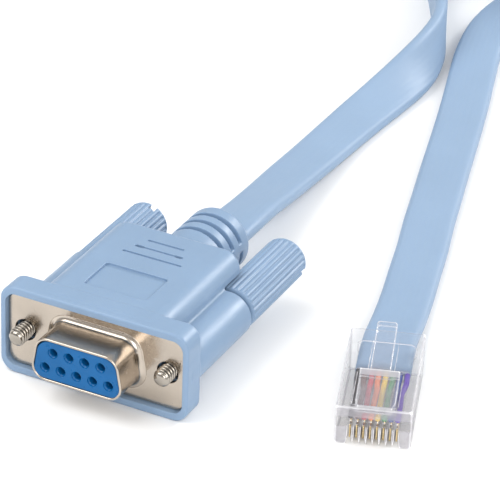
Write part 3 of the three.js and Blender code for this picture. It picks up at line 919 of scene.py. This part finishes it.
class BuildHood(Build, bpy.types.Operator):
    """Build the moulded hood with its barrels and its grooved boot"""

    bl_idname = "console_cable.hood"
    bl_label = "Hood"

    def build(self, props):
        hood, screws, socket, cable = props.hood, props.thumbscrews, props.socket, props.cable
        height = mm(hood.height)
        middle = height / 2
        offset = mm(screws.spacing) / 2
        body_back = mm(hood.body_back)
        barrel_back = mm(hood.barrel_back)
        boot_back = mm(hood.boot_back)
        boot_radius = mm(hood.boot_radius)
        plate_x, plate_z = mm(socket.plate_width) / 2, mm(socket.plate_height) / 2
        gap = 0.12

        def field(x, y, z):
            up = z - middle
            side = np.abs(x)
            flange = both(
                rounded_box(x, up, mm(hood.flange_width) / 2, middle, 2.6),
                between(y, -1, 3.3), 0.4,
            )
            body = both(
                rounded_box(x, up, mm(hood.body_width) / 2, middle, 3),
                between(y, 0, body_back), 1.0,
            )
            from_screw = np.hypot(side - offset, up)
            barrel = both(from_screw - mm(hood.barrel_radius), between(y, 0.5, barrel_back), 0.25)
            from_middle = np.hypot(x, up)
            boot = both(from_middle - boot_radius, between(y, body_back - 3, boot_back), 1.1)
            for groove in BOOT_GROOVES:
                ring = both(np.abs(y - groove) - 0.5, (boot_radius - 0.95) - from_middle, 0.1)
                ring = without(ring, between(up, 0.15, 1.65), 0.15)
                boot = without(boot, ring, 0.13)
            shape = either(body, barrel, 0.7)
            shape = either(shape, flange, 0.3)
            shape = either(shape, boot, 0.35)

            pocket = both(
                rounded_box(x, up, plate_x + gap, plate_z + gap, PLATE_CORNER),
                between(y, -4, 1.05), 0.05,
            )
            shape = without(shape, pocket, 0.18)
            well = both(rounded_box(x, up, 7.9, 3.75, 2.2), between(y, 0, 5.3), 0.05)
            shape = without(shape, well, 0.05)
            bore = both(from_screw - mm(screws.screw_radius) - 0.35, y - barrel_back - 1, 0.05)
            room = both(from_screw - mm(screws.knob_radius) - 0.35, barrel_back - y, 0.05)
            shape = without(shape, bore, 0.1)
            shape = without(shape, room, 0.18)

            panel_floor = height - mm(hood.panel_depth)
            panel = both(rounded_box(x, y - PANEL_PLACE, *PANEL_HALVES, 0.6), panel_floor - z, 0.05)
            shape = without(shape, panel, 0.12)
            for line_y, line_width in TOP_LINES:
                line = both(rounded_box(x, y - line_y, line_width / 2, 0.24, 0.23), (height - 0.32) - z, 0.05)
                shape = without(shape, line, 0.07)
            for end in (-3.45, 3.45):
                deep = rounded_box(x - end, y - TOP_LINES[1][0], 0.75, 0.3, 0.28)
                deep = both(deep, (height - 1.1) - z, 0.05)
                shape = without(shape, deep, 0.07)
            mouth = both(
                rounded_box(x, up, mm(cable.width) / 2 + 0.22, mm(cable.thickness) / 2 + 0.22, 1.1),
                (boot_back - 2.2) - y, 0.05,
            )
            return without(shape, mouth, 0.15)

        xs = spaced(-16.8, (-15.2, 0.15), (-9, 0.3), (9, 0.2), (15.2, 0.3), (16.8, 0.15))
        ys = spaced(
            -1.3, (3.6, 0.16), (5.3, 0.4), (6, 0.12), (12.7, 0.45), (13.4, 0.12), (17.2, 0.4),
            (22.7, 0.11), (25, 0.3), (27.2, 0.2), (32, 0.4), (38.7, 0.15), (39.8, 0.3), (41.5, 0.16),
        )
        zs = spaced(-0.3, (1, 0.16), (14.2, 0.27), (15.7, 0.1))
        obj = solid("moulded_hood", field, (xs, ys, zs))
        settle(obj, ROOT, "hood_plastic", vinyl("hood vinyl", props.finish.hood), "hood")


def d_outline(props, grow, segments=9):
    """The nose's outline in x and z, grown outwards; its four corners share their centres."""
    slope = NOSE_SLOPE
    z = mm(props.nose_height) / 2 - NOSE_CORNER
    low = mm(props.nose_width) / 2 - NOSE_CORNER
    high = low - 2 * z * math.tan(slope)
    radius = NOSE_CORNER + grow
    points = []
    for cx, cz, start, end in (
        (high, z, slope, math.pi / 2),
        (-high, z, math.pi / 2, math.pi - slope),
        (-low, -z, math.pi - slope, 1.5 * math.pi),
        (low, -z, 1.5 * math.pi, 2 * math.pi + slope),
    ):
        for a in np.linspace(start, end, segments):
            points.append((cx + radius * math.cos(a), cz + radius * math.sin(a)))
    return np.array(points)


def inset_plate(name, outlines, thickness, edge, place_y, segments=3):
    """A flat plate from closed outlines, the first its edge and the rest its holes."""
    data = bpy.data.curves.new(name, "CURVE")
    data.dimensions = "2D"
    data.fill_mode = "BOTH"
    data.extrude = thickness / 2 - edge
    data.bevel_depth = edge
    data.bevel_resolution = segments
    data.offset = -edge
    for outline in outlines:
        spline = data.splines.new("POLY")
        spline.points.add(len(outline) - 1)
        for point, (x, z) in zip(spline.points, outline):
            point.co = (x, z, 0, 1)
        spline.use_cyclic_u = True
    drawn = bpy.data.objects.new(name, data)
    bpy.context.scene.collection.objects.link(drawn)
    bpy.context.view_layer.update()
    mesh = bpy.data.meshes.new_from_object(drawn.evaluated_get(bpy.context.evaluated_depsgraph_get()))
    bpy.data.objects.remove(drawn)
    count = len(mesh.vertices)
    flat = np.zeros(count * 3)
    mesh.vertices.foreach_get("co", flat)
    flat = flat.reshape(-1, 3)
    points = np.stack((flat[:, 0], place_y + flat[:, 2], flat[:, 1]), axis=1)
    faces = [tuple(p.vertices)[::-1] for p in mesh.polygons]
    bpy.data.meshes.remove(mesh)
    obj = make_mesh(name, to_row(points), faces)
    weld(obj)
    return outward(obj)


def weld(obj, distance=2e-6):
    """Joins points that lie on each other."""
    work = bmesh.new()
    work.from_mesh(obj.data)
    bmesh.ops.remove_doubles(work, verts=work.verts, dist=distance)
    work.to_mesh(obj.data)
    work.free()


def circle(x, z, radius, count=32):
    """A circle's points in x and z."""
    return [
        (x + radius * math.cos(a), z + radius * math.sin(a))
        for a in np.linspace(0, 2 * math.pi, count, endpoint=False)
    ]


class BuildSocketShell(Build, bpy.types.Operator):
    """Build the plated plate and the nose drawn from it"""

    bl_idname = "console_cable.socket_shell"
    bl_label = "Socket shell"

    def build(self, props):
        socket, screws = props.socket, props.thumbscrews
        middle = mm(props.hood.height) / 2
        reach = mm(socket.nose_reach)
        offset = mm(screws.spacing) / 2
        foot = d_outline(socket, 0.95) + (0, middle)
        plate_x, plate_z = mm(socket.plate_width) / 2, mm(socket.plate_height) / 2
        outlines = [
            [(x, z + middle) for x, z, *_ in round_corners(plate_x, plate_z, PLATE_CORNER, 8)],
            foot,
            circle(-offset, middle, mm(screws.screw_radius) + 0.4),
            circle(offset, middle, mm(screws.screw_radius) + 0.4),
        ]
        plate = inset_plate("socket_shell_plate", outlines, PLATE_THICKNESS, 0.09, PLATE_THICKNESS / 2)
        # How far out from the nose's outline, then y: the foot, the wall, the rim and the inside
        profile = [(1.0, 0.1), (0.95, 0.02)]
        for a in np.linspace(0, 90, 8):
            turn = math.radians(a)
            profile.append((0.9 - 0.9 * math.sin(turn), -0.9 + 0.9 * math.cos(turn)))
        profile += [(0, -1.8), (0, -3), (0, -4.4), (0, -reach + 0.22)]
        for a in np.linspace(20, 160, 7):
            turn = math.radians(a)
            profile.append((-0.2 + 0.2 * math.cos(turn), -reach + 0.2 - 0.2 * math.sin(turn)))
        profile += [(-NOSE_WALL, y) for y in (-reach + 0.22, -3, 0.4, PLATE_THICKNESS)]
        profile += [(0.6, PLATE_THICKNESS), (1.0, 0.7)]
        rings = []
        for grow, y in profile:
            outline = d_outline(socket, grow)
            rings.append([(x, y, z + middle) for x, z in outline])
        nose = outward(tube("socket_shell_nose", rings, closed=True))
        work = bmesh.new()
        work.from_mesh(plate.data)
        work.from_mesh(nose.data)
        work.to_mesh(plate.data)
        work.free()
        bpy.data.objects.remove(nose)
        plate.data.polygons.foreach_set("use_smooth", [True] * len(plate.data.polygons))
        plate.name = "plated_shell"
        weighted = plate.modifiers.new("even shading", "WEIGHTED_NORMAL")
        weighted.weight = 80
        settle(
            plate, ROOT, "plated_steel", plated("nickel plate", props.finish.nickel), "socket_shell",
        )


def contact_places(props):
    """The nine contacts' x and z: the short row is above the long one."""
    pitch = mm(props.socket.contact_pitch)
    middle = mm(props.hood.height) / 2
    return [
        ((i - (count - 1) / 2) * pitch, middle + rise)
        for count, rise in ((5, -ROW_RISE), (4, ROW_RISE))
        for i in range(count)
    ]


class BuildInsulator(Build, bpy.types.Operator):
    """Build the block with the nine countersunk holes"""

    bl_idname = "console_cable.insulator"
    bl_label = "Insulator"

    def build(self, props):
        middle = mm(props.hood.height) / 2
        front = -mm(props.socket.nose_reach) + 0.15
        slope = math.tan(NOSE_SLOPE)
        lean = 1 / math.hypot(1, slope)
        half_z = mm(props.socket.nose_height) / 2 - NOSE_CORNER
        half_low = mm(props.socket.nose_width) / 2 - NOSE_CORNER
        play = 0.06
        radius = NOSE_CORNER - NOSE_WALL - play
        places = contact_places(props)

        def field(x, y, z):
            up = z - middle
            half = half_low - (half_z + up) * slope
            a = (np.abs(x) - half) * lean
            b = np.abs(up) - half_z
            flat = np.hypot(np.maximum(a, 0), np.maximum(b, 0)) + np.minimum(np.maximum(a, b), 0)
            shape = both(flat - radius, between(y, front, 5), 0.12)
            deep = y - front
            for cx, cz in places:
                from_axis = np.hypot(x - cx, z - cz)
                mouth = from_axis - 0.66 - 0.2 * ease((0.45 - deep) / 0.3)
                hole = both(mouth * 0.9, deep - 4, 0.02)
                shape = without(shape, hole, 0.04)
            return shape

        xs = spaced(-7.9, (7.9, 0.11))
        ys = spaced(front - 0.15, (front + 0.5, 0.09), (front + 3.6, 0.5), (front + 4.3, 0.12), (5.2, 0.6))
        zs = spaced(middle - 3.9, (middle + 3.9, 0.11))
        obj = solid("insulator_block", field, (xs, ys, zs))
        settle(
            obj, ROOT, "insulator_plastic",
            hard_plastic("insulator plastic", props.finish.insulator), "insulator",
        )


class BuildSocketContacts(Build, bpy.types.Operator):
    """Build the nine socket sleeves deep in the holes"""

    bl_idname = "console_cable.socket_contacts"
    bl_label = "Socket contacts"

    def build(self, props):
        material = plated("contact gold", props.finish.contact, 0.25)
        front = -mm(props.socket.nose_reach) + 2.4
        profile = [
            (0.36, front + 0.1), (0.42, front), (0.5, front), (0.53, front + 0.1), (0.53, 2.6),
            (0.5, 2.8), (0.44, 2.9), (0.36, 2.9), (0.33, 2.8), (0.33, front + 0.3),
        ]
        for index, (x, z) in enumerate(contact_places(props)):
            rings = [[(u, y, w) for u, w in circle(x, z, radius, 20)] for radius, y in profile]
            obj = outward(tube(f"contact_sleeve_{index + 1}", rings, closed=True))
            settle(obj, ROOT, "contact_metal", material, f"socket_contact_{index + 1}")


class BuildThumbscrews(Build, bpy.types.Operator):
    """Build the two thumbscrews: threaded screws in fluted knobs"""

    bl_idname = "console_cable.thumbscrews"
    bl_label = "Thumbscrews"

    def build(self, props):
        steel = plated("screw nickel", props.finish.screw, 0.16)
        grip = vinyl("knob vinyl", props.finish.hood, 0.42)
        middle = mm(props.hood.height) / 2
        screws = props.thumbscrews
        for side, sign in SIDES.items():
            x = sign * mm(screws.spacing) / 2
            turn = getattr(screws, f"{side}_turn")
            drawn = mm(getattr(screws, f"{side}_drawn"))
            screw = self.screw(props, side, x, middle, drawn)
            settle(screw, f"thumbscrew_{side}", "screw_steel", steel, f"thumbscrew_screw_{side}")
            knob = self.knob(props, side, x, middle, drawn, turn)
            settle(knob, f"thumbscrew_{side}", "hood_plastic", grip, f"thumbscrew_knob_{side}")

    @staticmethod
    def screw(props, side, x, middle, drawn):
        """One threaded screw along y."""
        screws = props.thumbscrews
        radius, pitch = mm(screws.screw_radius), mm(screws.thread_pitch)
        tip = drawn - mm(screws.screw_tip)
        back = drawn + mm(props.hood.barrel_back) + 12.35
        depth = 0.4
        around = 40
        rows = [*np.arange(tip, 9, pitch / 14), *np.linspace(9.2, back, 12)]
        rings = [[(x, tip, middle)] * around]
        for y in rows:
            ring = []
            for k in range(around):
                angle = 2 * math.pi * k / around
                phase = (y / pitch - k / around) % 1
                crest = min(1, max(0, 1.5 * abs(2 * phase - 1) - 0.2))
                fade = float(ease((8.6 - y) / 0.5) * ease((y - tip + 0.1) / 0.5))
                cut = depth * (1 - crest) * fade
                chamfer = max(0, 0.5 - (y - tip)) * 0.9
                r = min(radius - cut, radius - chamfer)
                ring.append((x + r * math.cos(angle), y, middle + r * math.sin(angle)))
            rings.append(ring)
        rings.append([(x, back, middle)] * around)
        obj = tube(f"threaded_screw_{side}", rings, caps=False)
        weld(obj)
        return outward(obj)

    @staticmethod
    def knob(props, side, x, middle, drawn, turn):
        """One fluted knob with a slot across its end."""
        screws = props.thumbscrews
        front = drawn + mm(props.hood.barrel_back) + 0.35
        back = front + mm(screws.knob_length)
        radius = mm(screws.knob_radius)
        flutes = screws.flutes
        hole = mm(screws.screw_radius) + 0.25

        def field(px, y, pz):
            u = px - x
            w = pz - middle
            across = w * math.cos(turn) - u * math.sin(turn)
            from_axis = np.hypot(u, w)
            angle = np.arctan2(w, u) - turn
            wave = 0.5 - 0.5 * np.cos(angle * flutes)
            ridge = radius - 0.22 * wave**1.6 * ease((y - front - 0.2) / 0.4) * ease((back - 0.3 - y) / 0.7)
            round_end = both((from_axis - ridge) * 0.85, between(y, front, back), 0.6)
            shape = without(round_end, both(np.abs(across) - 0.55, (back - 1.4) - y, 0.03), 0.1)
            bore = both(from_axis - hole, y - front - 12.3, 0.05)
            return without(shape, bore, 0.05)

        xs = spaced(x - 4.05, (x + 4.05, 0.095))
        zs = spaced(middle - 4.05, (middle + 4.05, 0.095))
        ys = spaced(
            front - 0.2, (front + 0.9, 0.12), (front + 11.9, 0.75), (front + 12.6, 0.2),
            (back - 1.8, 0.75), (back + 0.2, 0.1),
        )
        return solid(f"fluted_knob_{side}", field, (xs, ys, zs))


# The plug, in its own millimetres from its nose
LATCH_ROOT = 1.25
LATCH_SHOULDER = 8.36
LATCH_END = 18.8
CABLE_LEVEL = 4.0
WIRE_PITCH = 1.02  # at the blades
WIRE_SPREAD = 1.09  # between the wires where they leave the jacket
WIRE_PLACES = tuple((k - 3.5) * WIRE_PITCH for k in range(len(WIRES)))
LATCH_SHOULDER_TOP = 8.2
LATCH_END_TOP = 11.0
FROSTED_BAR = (7.1, 8.5)  # across the latch, before its shoulder


class BuildPlugBody(Build, bpy.types.Operator):
    """Build the plug's clear body"""

    bl_idname = "console_cable.plug_body"
    bl_label = "Plug body"

    def build(self, props):
        plug, cable = props.plug, props.cable
        half = mm(plug.width) / 2
        end = mm(plug.length)
        nose, back = mm(plug.nose_height), mm(plug.back_height)
        half_cable, half_jacket, play = mm(cable.width) / 2, mm(cable.thickness) / 2, 0.15

        def field(x, y, z):
            top = nose + np.clip((y - 1.2) / (end - 1.2), 0, 1) * (back - nose)
            outline = both(between(y, 0, end), np.maximum(-z, z - top), 0.3)
            shape = both(outline, np.abs(x) - half, 0.3)
            level = z - CABLE_LEVEL
            room = both(rounded_box(x, level, half_cable + play, half_jacket + play, 0.9), 14.4 - y, 0.1)
            bay = both(rounded_box(x, level, 4.25, 0.62, 0.5), between(y, 1.1, 15), 0.1)
            shape = without(shape, either(room, bay, 0.3), 0.1)
            pocket = both(rounded_box(x, y - 17.1, 3.3, 1.7, 0.3), z - 2.1, 0.05)
            shape = without(shape, pocket, 0.12)
            flare = 0.17 * np.clip(1.3 - z, 0, 1.3) * np.clip(2.2 - y, 0, 1)
            nearest = np.minimum.reduce([np.abs(x - at) for at in WIRE_PLACES])
            slots = both(nearest - 0.31 - flare, both(y - 5.1, z - 3.5, 0.05), 0.03)
            shape = without(shape, slots, 0.06)
            hollow_back = LATCH_SHOULDER + 0.3 + np.clip(z - 5.0, 0, 9) * 0.57
            hollow = both(between(y, LATCH_ROOT - 0.3, hollow_back), 5.05 - z, 0.2)
            hollow = both(hollow, np.abs(x) - mm(plug.latch_width) / 2 - 0.35, 0.2)
            shape = without(shape, hollow, 0.12)
            floor = 6.45 + (y - 8.48) * 0.129 - 0.35
            channel = both(8.3 - y, floor - z, 0.1)
            channel = both(channel, np.abs(x) - mm(plug.tail_width) / 2 - 0.35, 0.15)
            return without(shape, channel, 0.12)

        xs = spaced(-6.05, (-4.4, 0.16), (4.4, 0.085), (6.05, 0.16))
        ys = spaced(
            -0.25, (1.4, 0.13), (4.7, 0.3), (5.4, 0.13), (8, 0.3), (11.6, 0.17), (14, 0.3),
            (19.2, 0.17), (20.8, 0.3), (21.7, 0.13),
        )
        zs = spaced(-0.25, (0.5, 0.12), (1.7, 0.3), (8.1, 0.13))
        obj = solid("plug_shell", field, (xs, ys, zs), in_plug=True)
        settle(obj, ROOT, "clear_plastic", clear_plastic("clear plastic", props.finish.clear), "plug_body")


class BuildLatch(Build, bpy.types.Operator):
    """Build the plug's spring latch"""

    bl_idname = "console_cable.latch"
    bl_label = "Latch"

    def build(self, props):
        plug = props.plug
        nose = mm(plug.nose_height)
        shoulder_top, end_top = LATCH_SHOULDER_TOP, LATCH_END_TOP

        def field(x, y, z):
            rise = (y - LATCH_ROOT) / (LATCH_SHOULDER - LATCH_ROOT)
            top = nose + rise * (shoulder_top - nose)
            lug = np.clip((y - LATCH_SHOULDER + 1.7) / 1.7, 0, 1) * 0.4
            slab = both(between(z, top - 1.15, top + lug), between(y, 0.7, LATCH_SHOULDER), 0.15)
            half = mm(plug.latch_width) / 2 - 0.35 * ease((2.2 - y) / 1.4)
            wide = both(slab, np.abs(x) - half, 0.2)
            climb = (y - LATCH_SHOULDER + 0.5) / (LATCH_END - LATCH_SHOULDER + 0.5)
            tail_top = shoulder_top + climb * (end_top - shoulder_top)
            tail_reach = between(y, LATCH_SHOULDER - 0.8, LATCH_END)
            strip = both(between(z, tail_top - 0.95, tail_top), tail_reach, 0.25)
            plan = rounded_box(x, y - 12, mm(plug.tail_width) / 2, LATCH_END - 12, 0.6)
            tail = both(strip, plan, 0.2)
            return either(wide, tail, 0.35)

        xs = spaced(-3.4, (3.4, 0.11))
        ys = spaced(0.4, (19.1, 0.15))
        zs = spaced(5.0, (11.3, 0.12))
        obj = solid("plug_spring_latch", field, (xs, ys, zs), in_plug=True)
        material = clear_plastic("latch plastic", props.finish.clear, FROSTED_BAR)
        settle(obj, "latch", "clear_plastic", material, "plug_latch")


class BuildBlades(Build, bpy.types.Operator):
    """Build the plug's eight gold-plated blades"""

    bl_idname = "console_cable.blades"
    bl_label = "Blades"

    def build(self, props):
        material = plated("blade gold", props.finish.contact, 0.22)
        profile = [
            (0.95, 0.7), (1.15, 0.47), (1.6, 0.42), (4.1, 0.42), (4.5, 0.6), (4.6, 0.9), (4.6, 2.6),
            (4.35, 2.75), (3.9, 2.75), (3.6, 3.35), (3.3, 2.7), (2.6, 2.7), (2.3, 3.35), (2.0, 2.75),
            (1.3, 2.75), (1.0, 2.55),
        ]
        for index, at in enumerate(WIRE_PLACES):
            rings = [from_plug([(at + side, y, z) for y, z in profile]) for side in (-0.12, 0.12)]
            obj = outward(tube(f"blade_{index + 1}", rings))
            soften_edges(obj, 0.00005, 2)
            settle(obj, ROOT, "contact_metal", material, f"plug_contact_{index + 1}")


class BuildWires(Build, bpy.types.Operator):
    """Build the eight insulated wires between the jacket and the blades"""

    bl_idname = "console_cable.wires"
    bl_label = "Wires"

    def build(self, props):
        radius = 0.43
        for index, (name, at) in enumerate(zip(WIRES, WIRE_PLACES)):
            spread = (index - 3.5) * WIRE_SPREAD
            sway = 0.12 * math.sin(2.4 * index)
            route = [
                (at, 1.45, CABLE_LEVEL), (at, 3.5, CABLE_LEVEL), (at + sway * 0.3, 6, CABLE_LEVEL),
                (at + sway, 9, CABLE_LEVEL + 0.05), (spread - sway * 0.4, 12, CABLE_LEVEL - 0.05),
                (spread, 14.3, CABLE_LEVEL), (spread, 15.2, CABLE_LEVEL),
            ]
            line = smooth_curve(route, 6)
            rings = []
            for p, a, o in zip(line, *ways(line)[1:]):
                rings.append(from_plug([
                    p + radius * (a * math.cos(t) + o * math.sin(t))
                    for t in np.linspace(0, 2 * math.pi, 16, endpoint=False)
                ]))
            obj = outward(tube(f"insulated_wire_{name}", rings))
            soften_edges(obj, 0.00006, 2, 50)
            material = hard_plastic(f"{name} insulation", WIRE_COLOURS[name], 0.38)
            settle(obj, ROOT, f"wire_{name}", material, f"wire_{name}")


class BuildStage(Build, bpy.types.Operator):
    """Build the pale floor and the soft studio light"""

    bl_idname = "console_cable.stage"
    bl_label = "Stage"

    def build(self, props):
        scene = bpy.context.scene
        scene.view_settings.view_transform = "Standard"
        scene.view_settings.look = "None"
        scene.view_settings.exposure = 0
        floor_points = [(-3, -3, 0), (3, -3, 0), (3, 3, 0), (-3, 3, 0)]
        floor = make_mesh("floor", floor_points, [(0, 1, 2, 3)])
        s = Shader("floor paper", props.finish.floor, 0.9)
        cloud = s.span(s.noise(3, 3), 0.3, 0.7, 0, 1)
        s.drive("Base Color", s.tint(cloud, shade(props.finish.floor, 0.985), props.finish.floor))
        s.set("Specular IOR Level", 0.1)
        floor.data.materials.append(s.material)

        world = bpy.data.worlds.new("studio")
        scene.world = world
        world.use_nodes = True
        nodes, links = world.node_tree.nodes, world.node_tree.links
        sky = nodes["Background"]
        where = nodes.new("ShaderNodeTexCoord")
        split = nodes.new("ShaderNodeSeparateXYZ")
        ramp = nodes.new("ShaderNodeValToRGB")
        links.new(where.outputs["Generated"], split.inputs[0])
        links.new(split.outputs["Z"], ramp.inputs[0])
        links.new(ramp.outputs[0], sky.inputs["Color"])
        ramp.color_ramp.elements[0].position = 0.0
        ramp.color_ramp.elements[0].color = (0.5, 0.5, 0.52, 1)
        ramp.color_ramp.elements[1].position = 0.75
        ramp.color_ramp.elements[1].color = (1, 0.99, 0.97, 1)
        sky.inputs["Strength"].default_value = 0.76

        for name, place, aim, size, power in (
            ("key", (-0.55, -0.3, 0.95), (0.02, 0.02, 0), (0.9, 0.9), 8.2),
            ("fill", (0.6, -0.85, 0.5), (0.02, 0.0, 0), (0.9, 0.6), 6.8),
            ("rim", (0.46, 0.85, 0.52), (0.0, 0.02, 0), (0.35, 0.3), 6.5),
        ):
            data = bpy.data.lights.new(name, "AREA")
            data.shape = "RECTANGLE"
            data.size, data.size_y = size
            data.energy = power
            way = np.array(aim) - np.array(place)
            back = -way / np.linalg.norm(way)
            right = np.cross((0, 0, 1), back)
            right /= np.linalg.norm(right)
            stand(bpy.data.objects.new(name, data), right, np.cross(back, right), back, place)


class ConsoleCable(bpy.types.PropertyGroup):
    """Everything that can be set."""

    hood: bpy.props.PointerProperty(type=HoodSizes)
    socket: bpy.props.PointerProperty(type=SocketSizes)
    thumbscrews: bpy.props.PointerProperty(type=ThumbscrewSizes)
    cable: bpy.props.PointerProperty(type=CableSizes)
    plug: bpy.props.PointerProperty(type=PlugSizes)
    finish: bpy.props.PointerProperty(type=Finishes)


OPERATORS = (
    BuildCamera,
    BuildHood,
    BuildSocketShell,
    BuildInsulator,
    BuildSocketContacts,
    BuildThumbscrews,
    BuildPlugBody,
    BuildLatch,
    BuildBlades,
    BuildWires,
    BuildTies,
    BuildCable,
    BuildStage,
)


class ConsoleCablePanel(bpy.types.Panel):
    """Lists the sizes and the pieces in the sidebar"""

    bl_idname = "VIEW3D_PT_console_cable"
    bl_label = "Console cable"
    bl_space_type = "VIEW_3D"
    bl_region_type = "UI"
    bl_category = "Console cable"

    def draw(self, context):
        props = context.scene.console_cable
        for name in ("hood", "socket", "thumbscrews", "cable", "plug", "finish"):
            group = getattr(props, name)
            column = self.layout.column()
            column.label(text=name.capitalize())
            for key in group.__annotations__:
                column.prop(group, key)
        for operator in OPERATORS:
            self.layout.operator(operator.bl_idname)


CLASSES = (
    HoodSizes,
    SocketSizes,
    ThumbscrewSizes,
    CableSizes,
    PlugSizes,
    Finishes,
    ConsoleCable,
    *OPERATORS,
    ConsoleCablePanel,
)


def register():
    """Adds the sizes, the operators and the panel."""
    for cls in CLASSES:
        bpy.utils.register_class(cls)
    bpy.types.Scene.console_cable = bpy.props.PointerProperty(type=ConsoleCable)


def unregister():
    """Takes them away again."""
    del bpy.types.Scene.console_cable
    for cls in reversed(CLASSES):
        bpy.utils.unregister_class(cls)


def main():
    """Builds every piece in turn."""
    register()
    for operator in OPERATORS:
        group, name = operator.bl_idname.split(".")
        getattr(getattr(bpy.ops, group), name)()


if __name__ == "__main__":
    main()
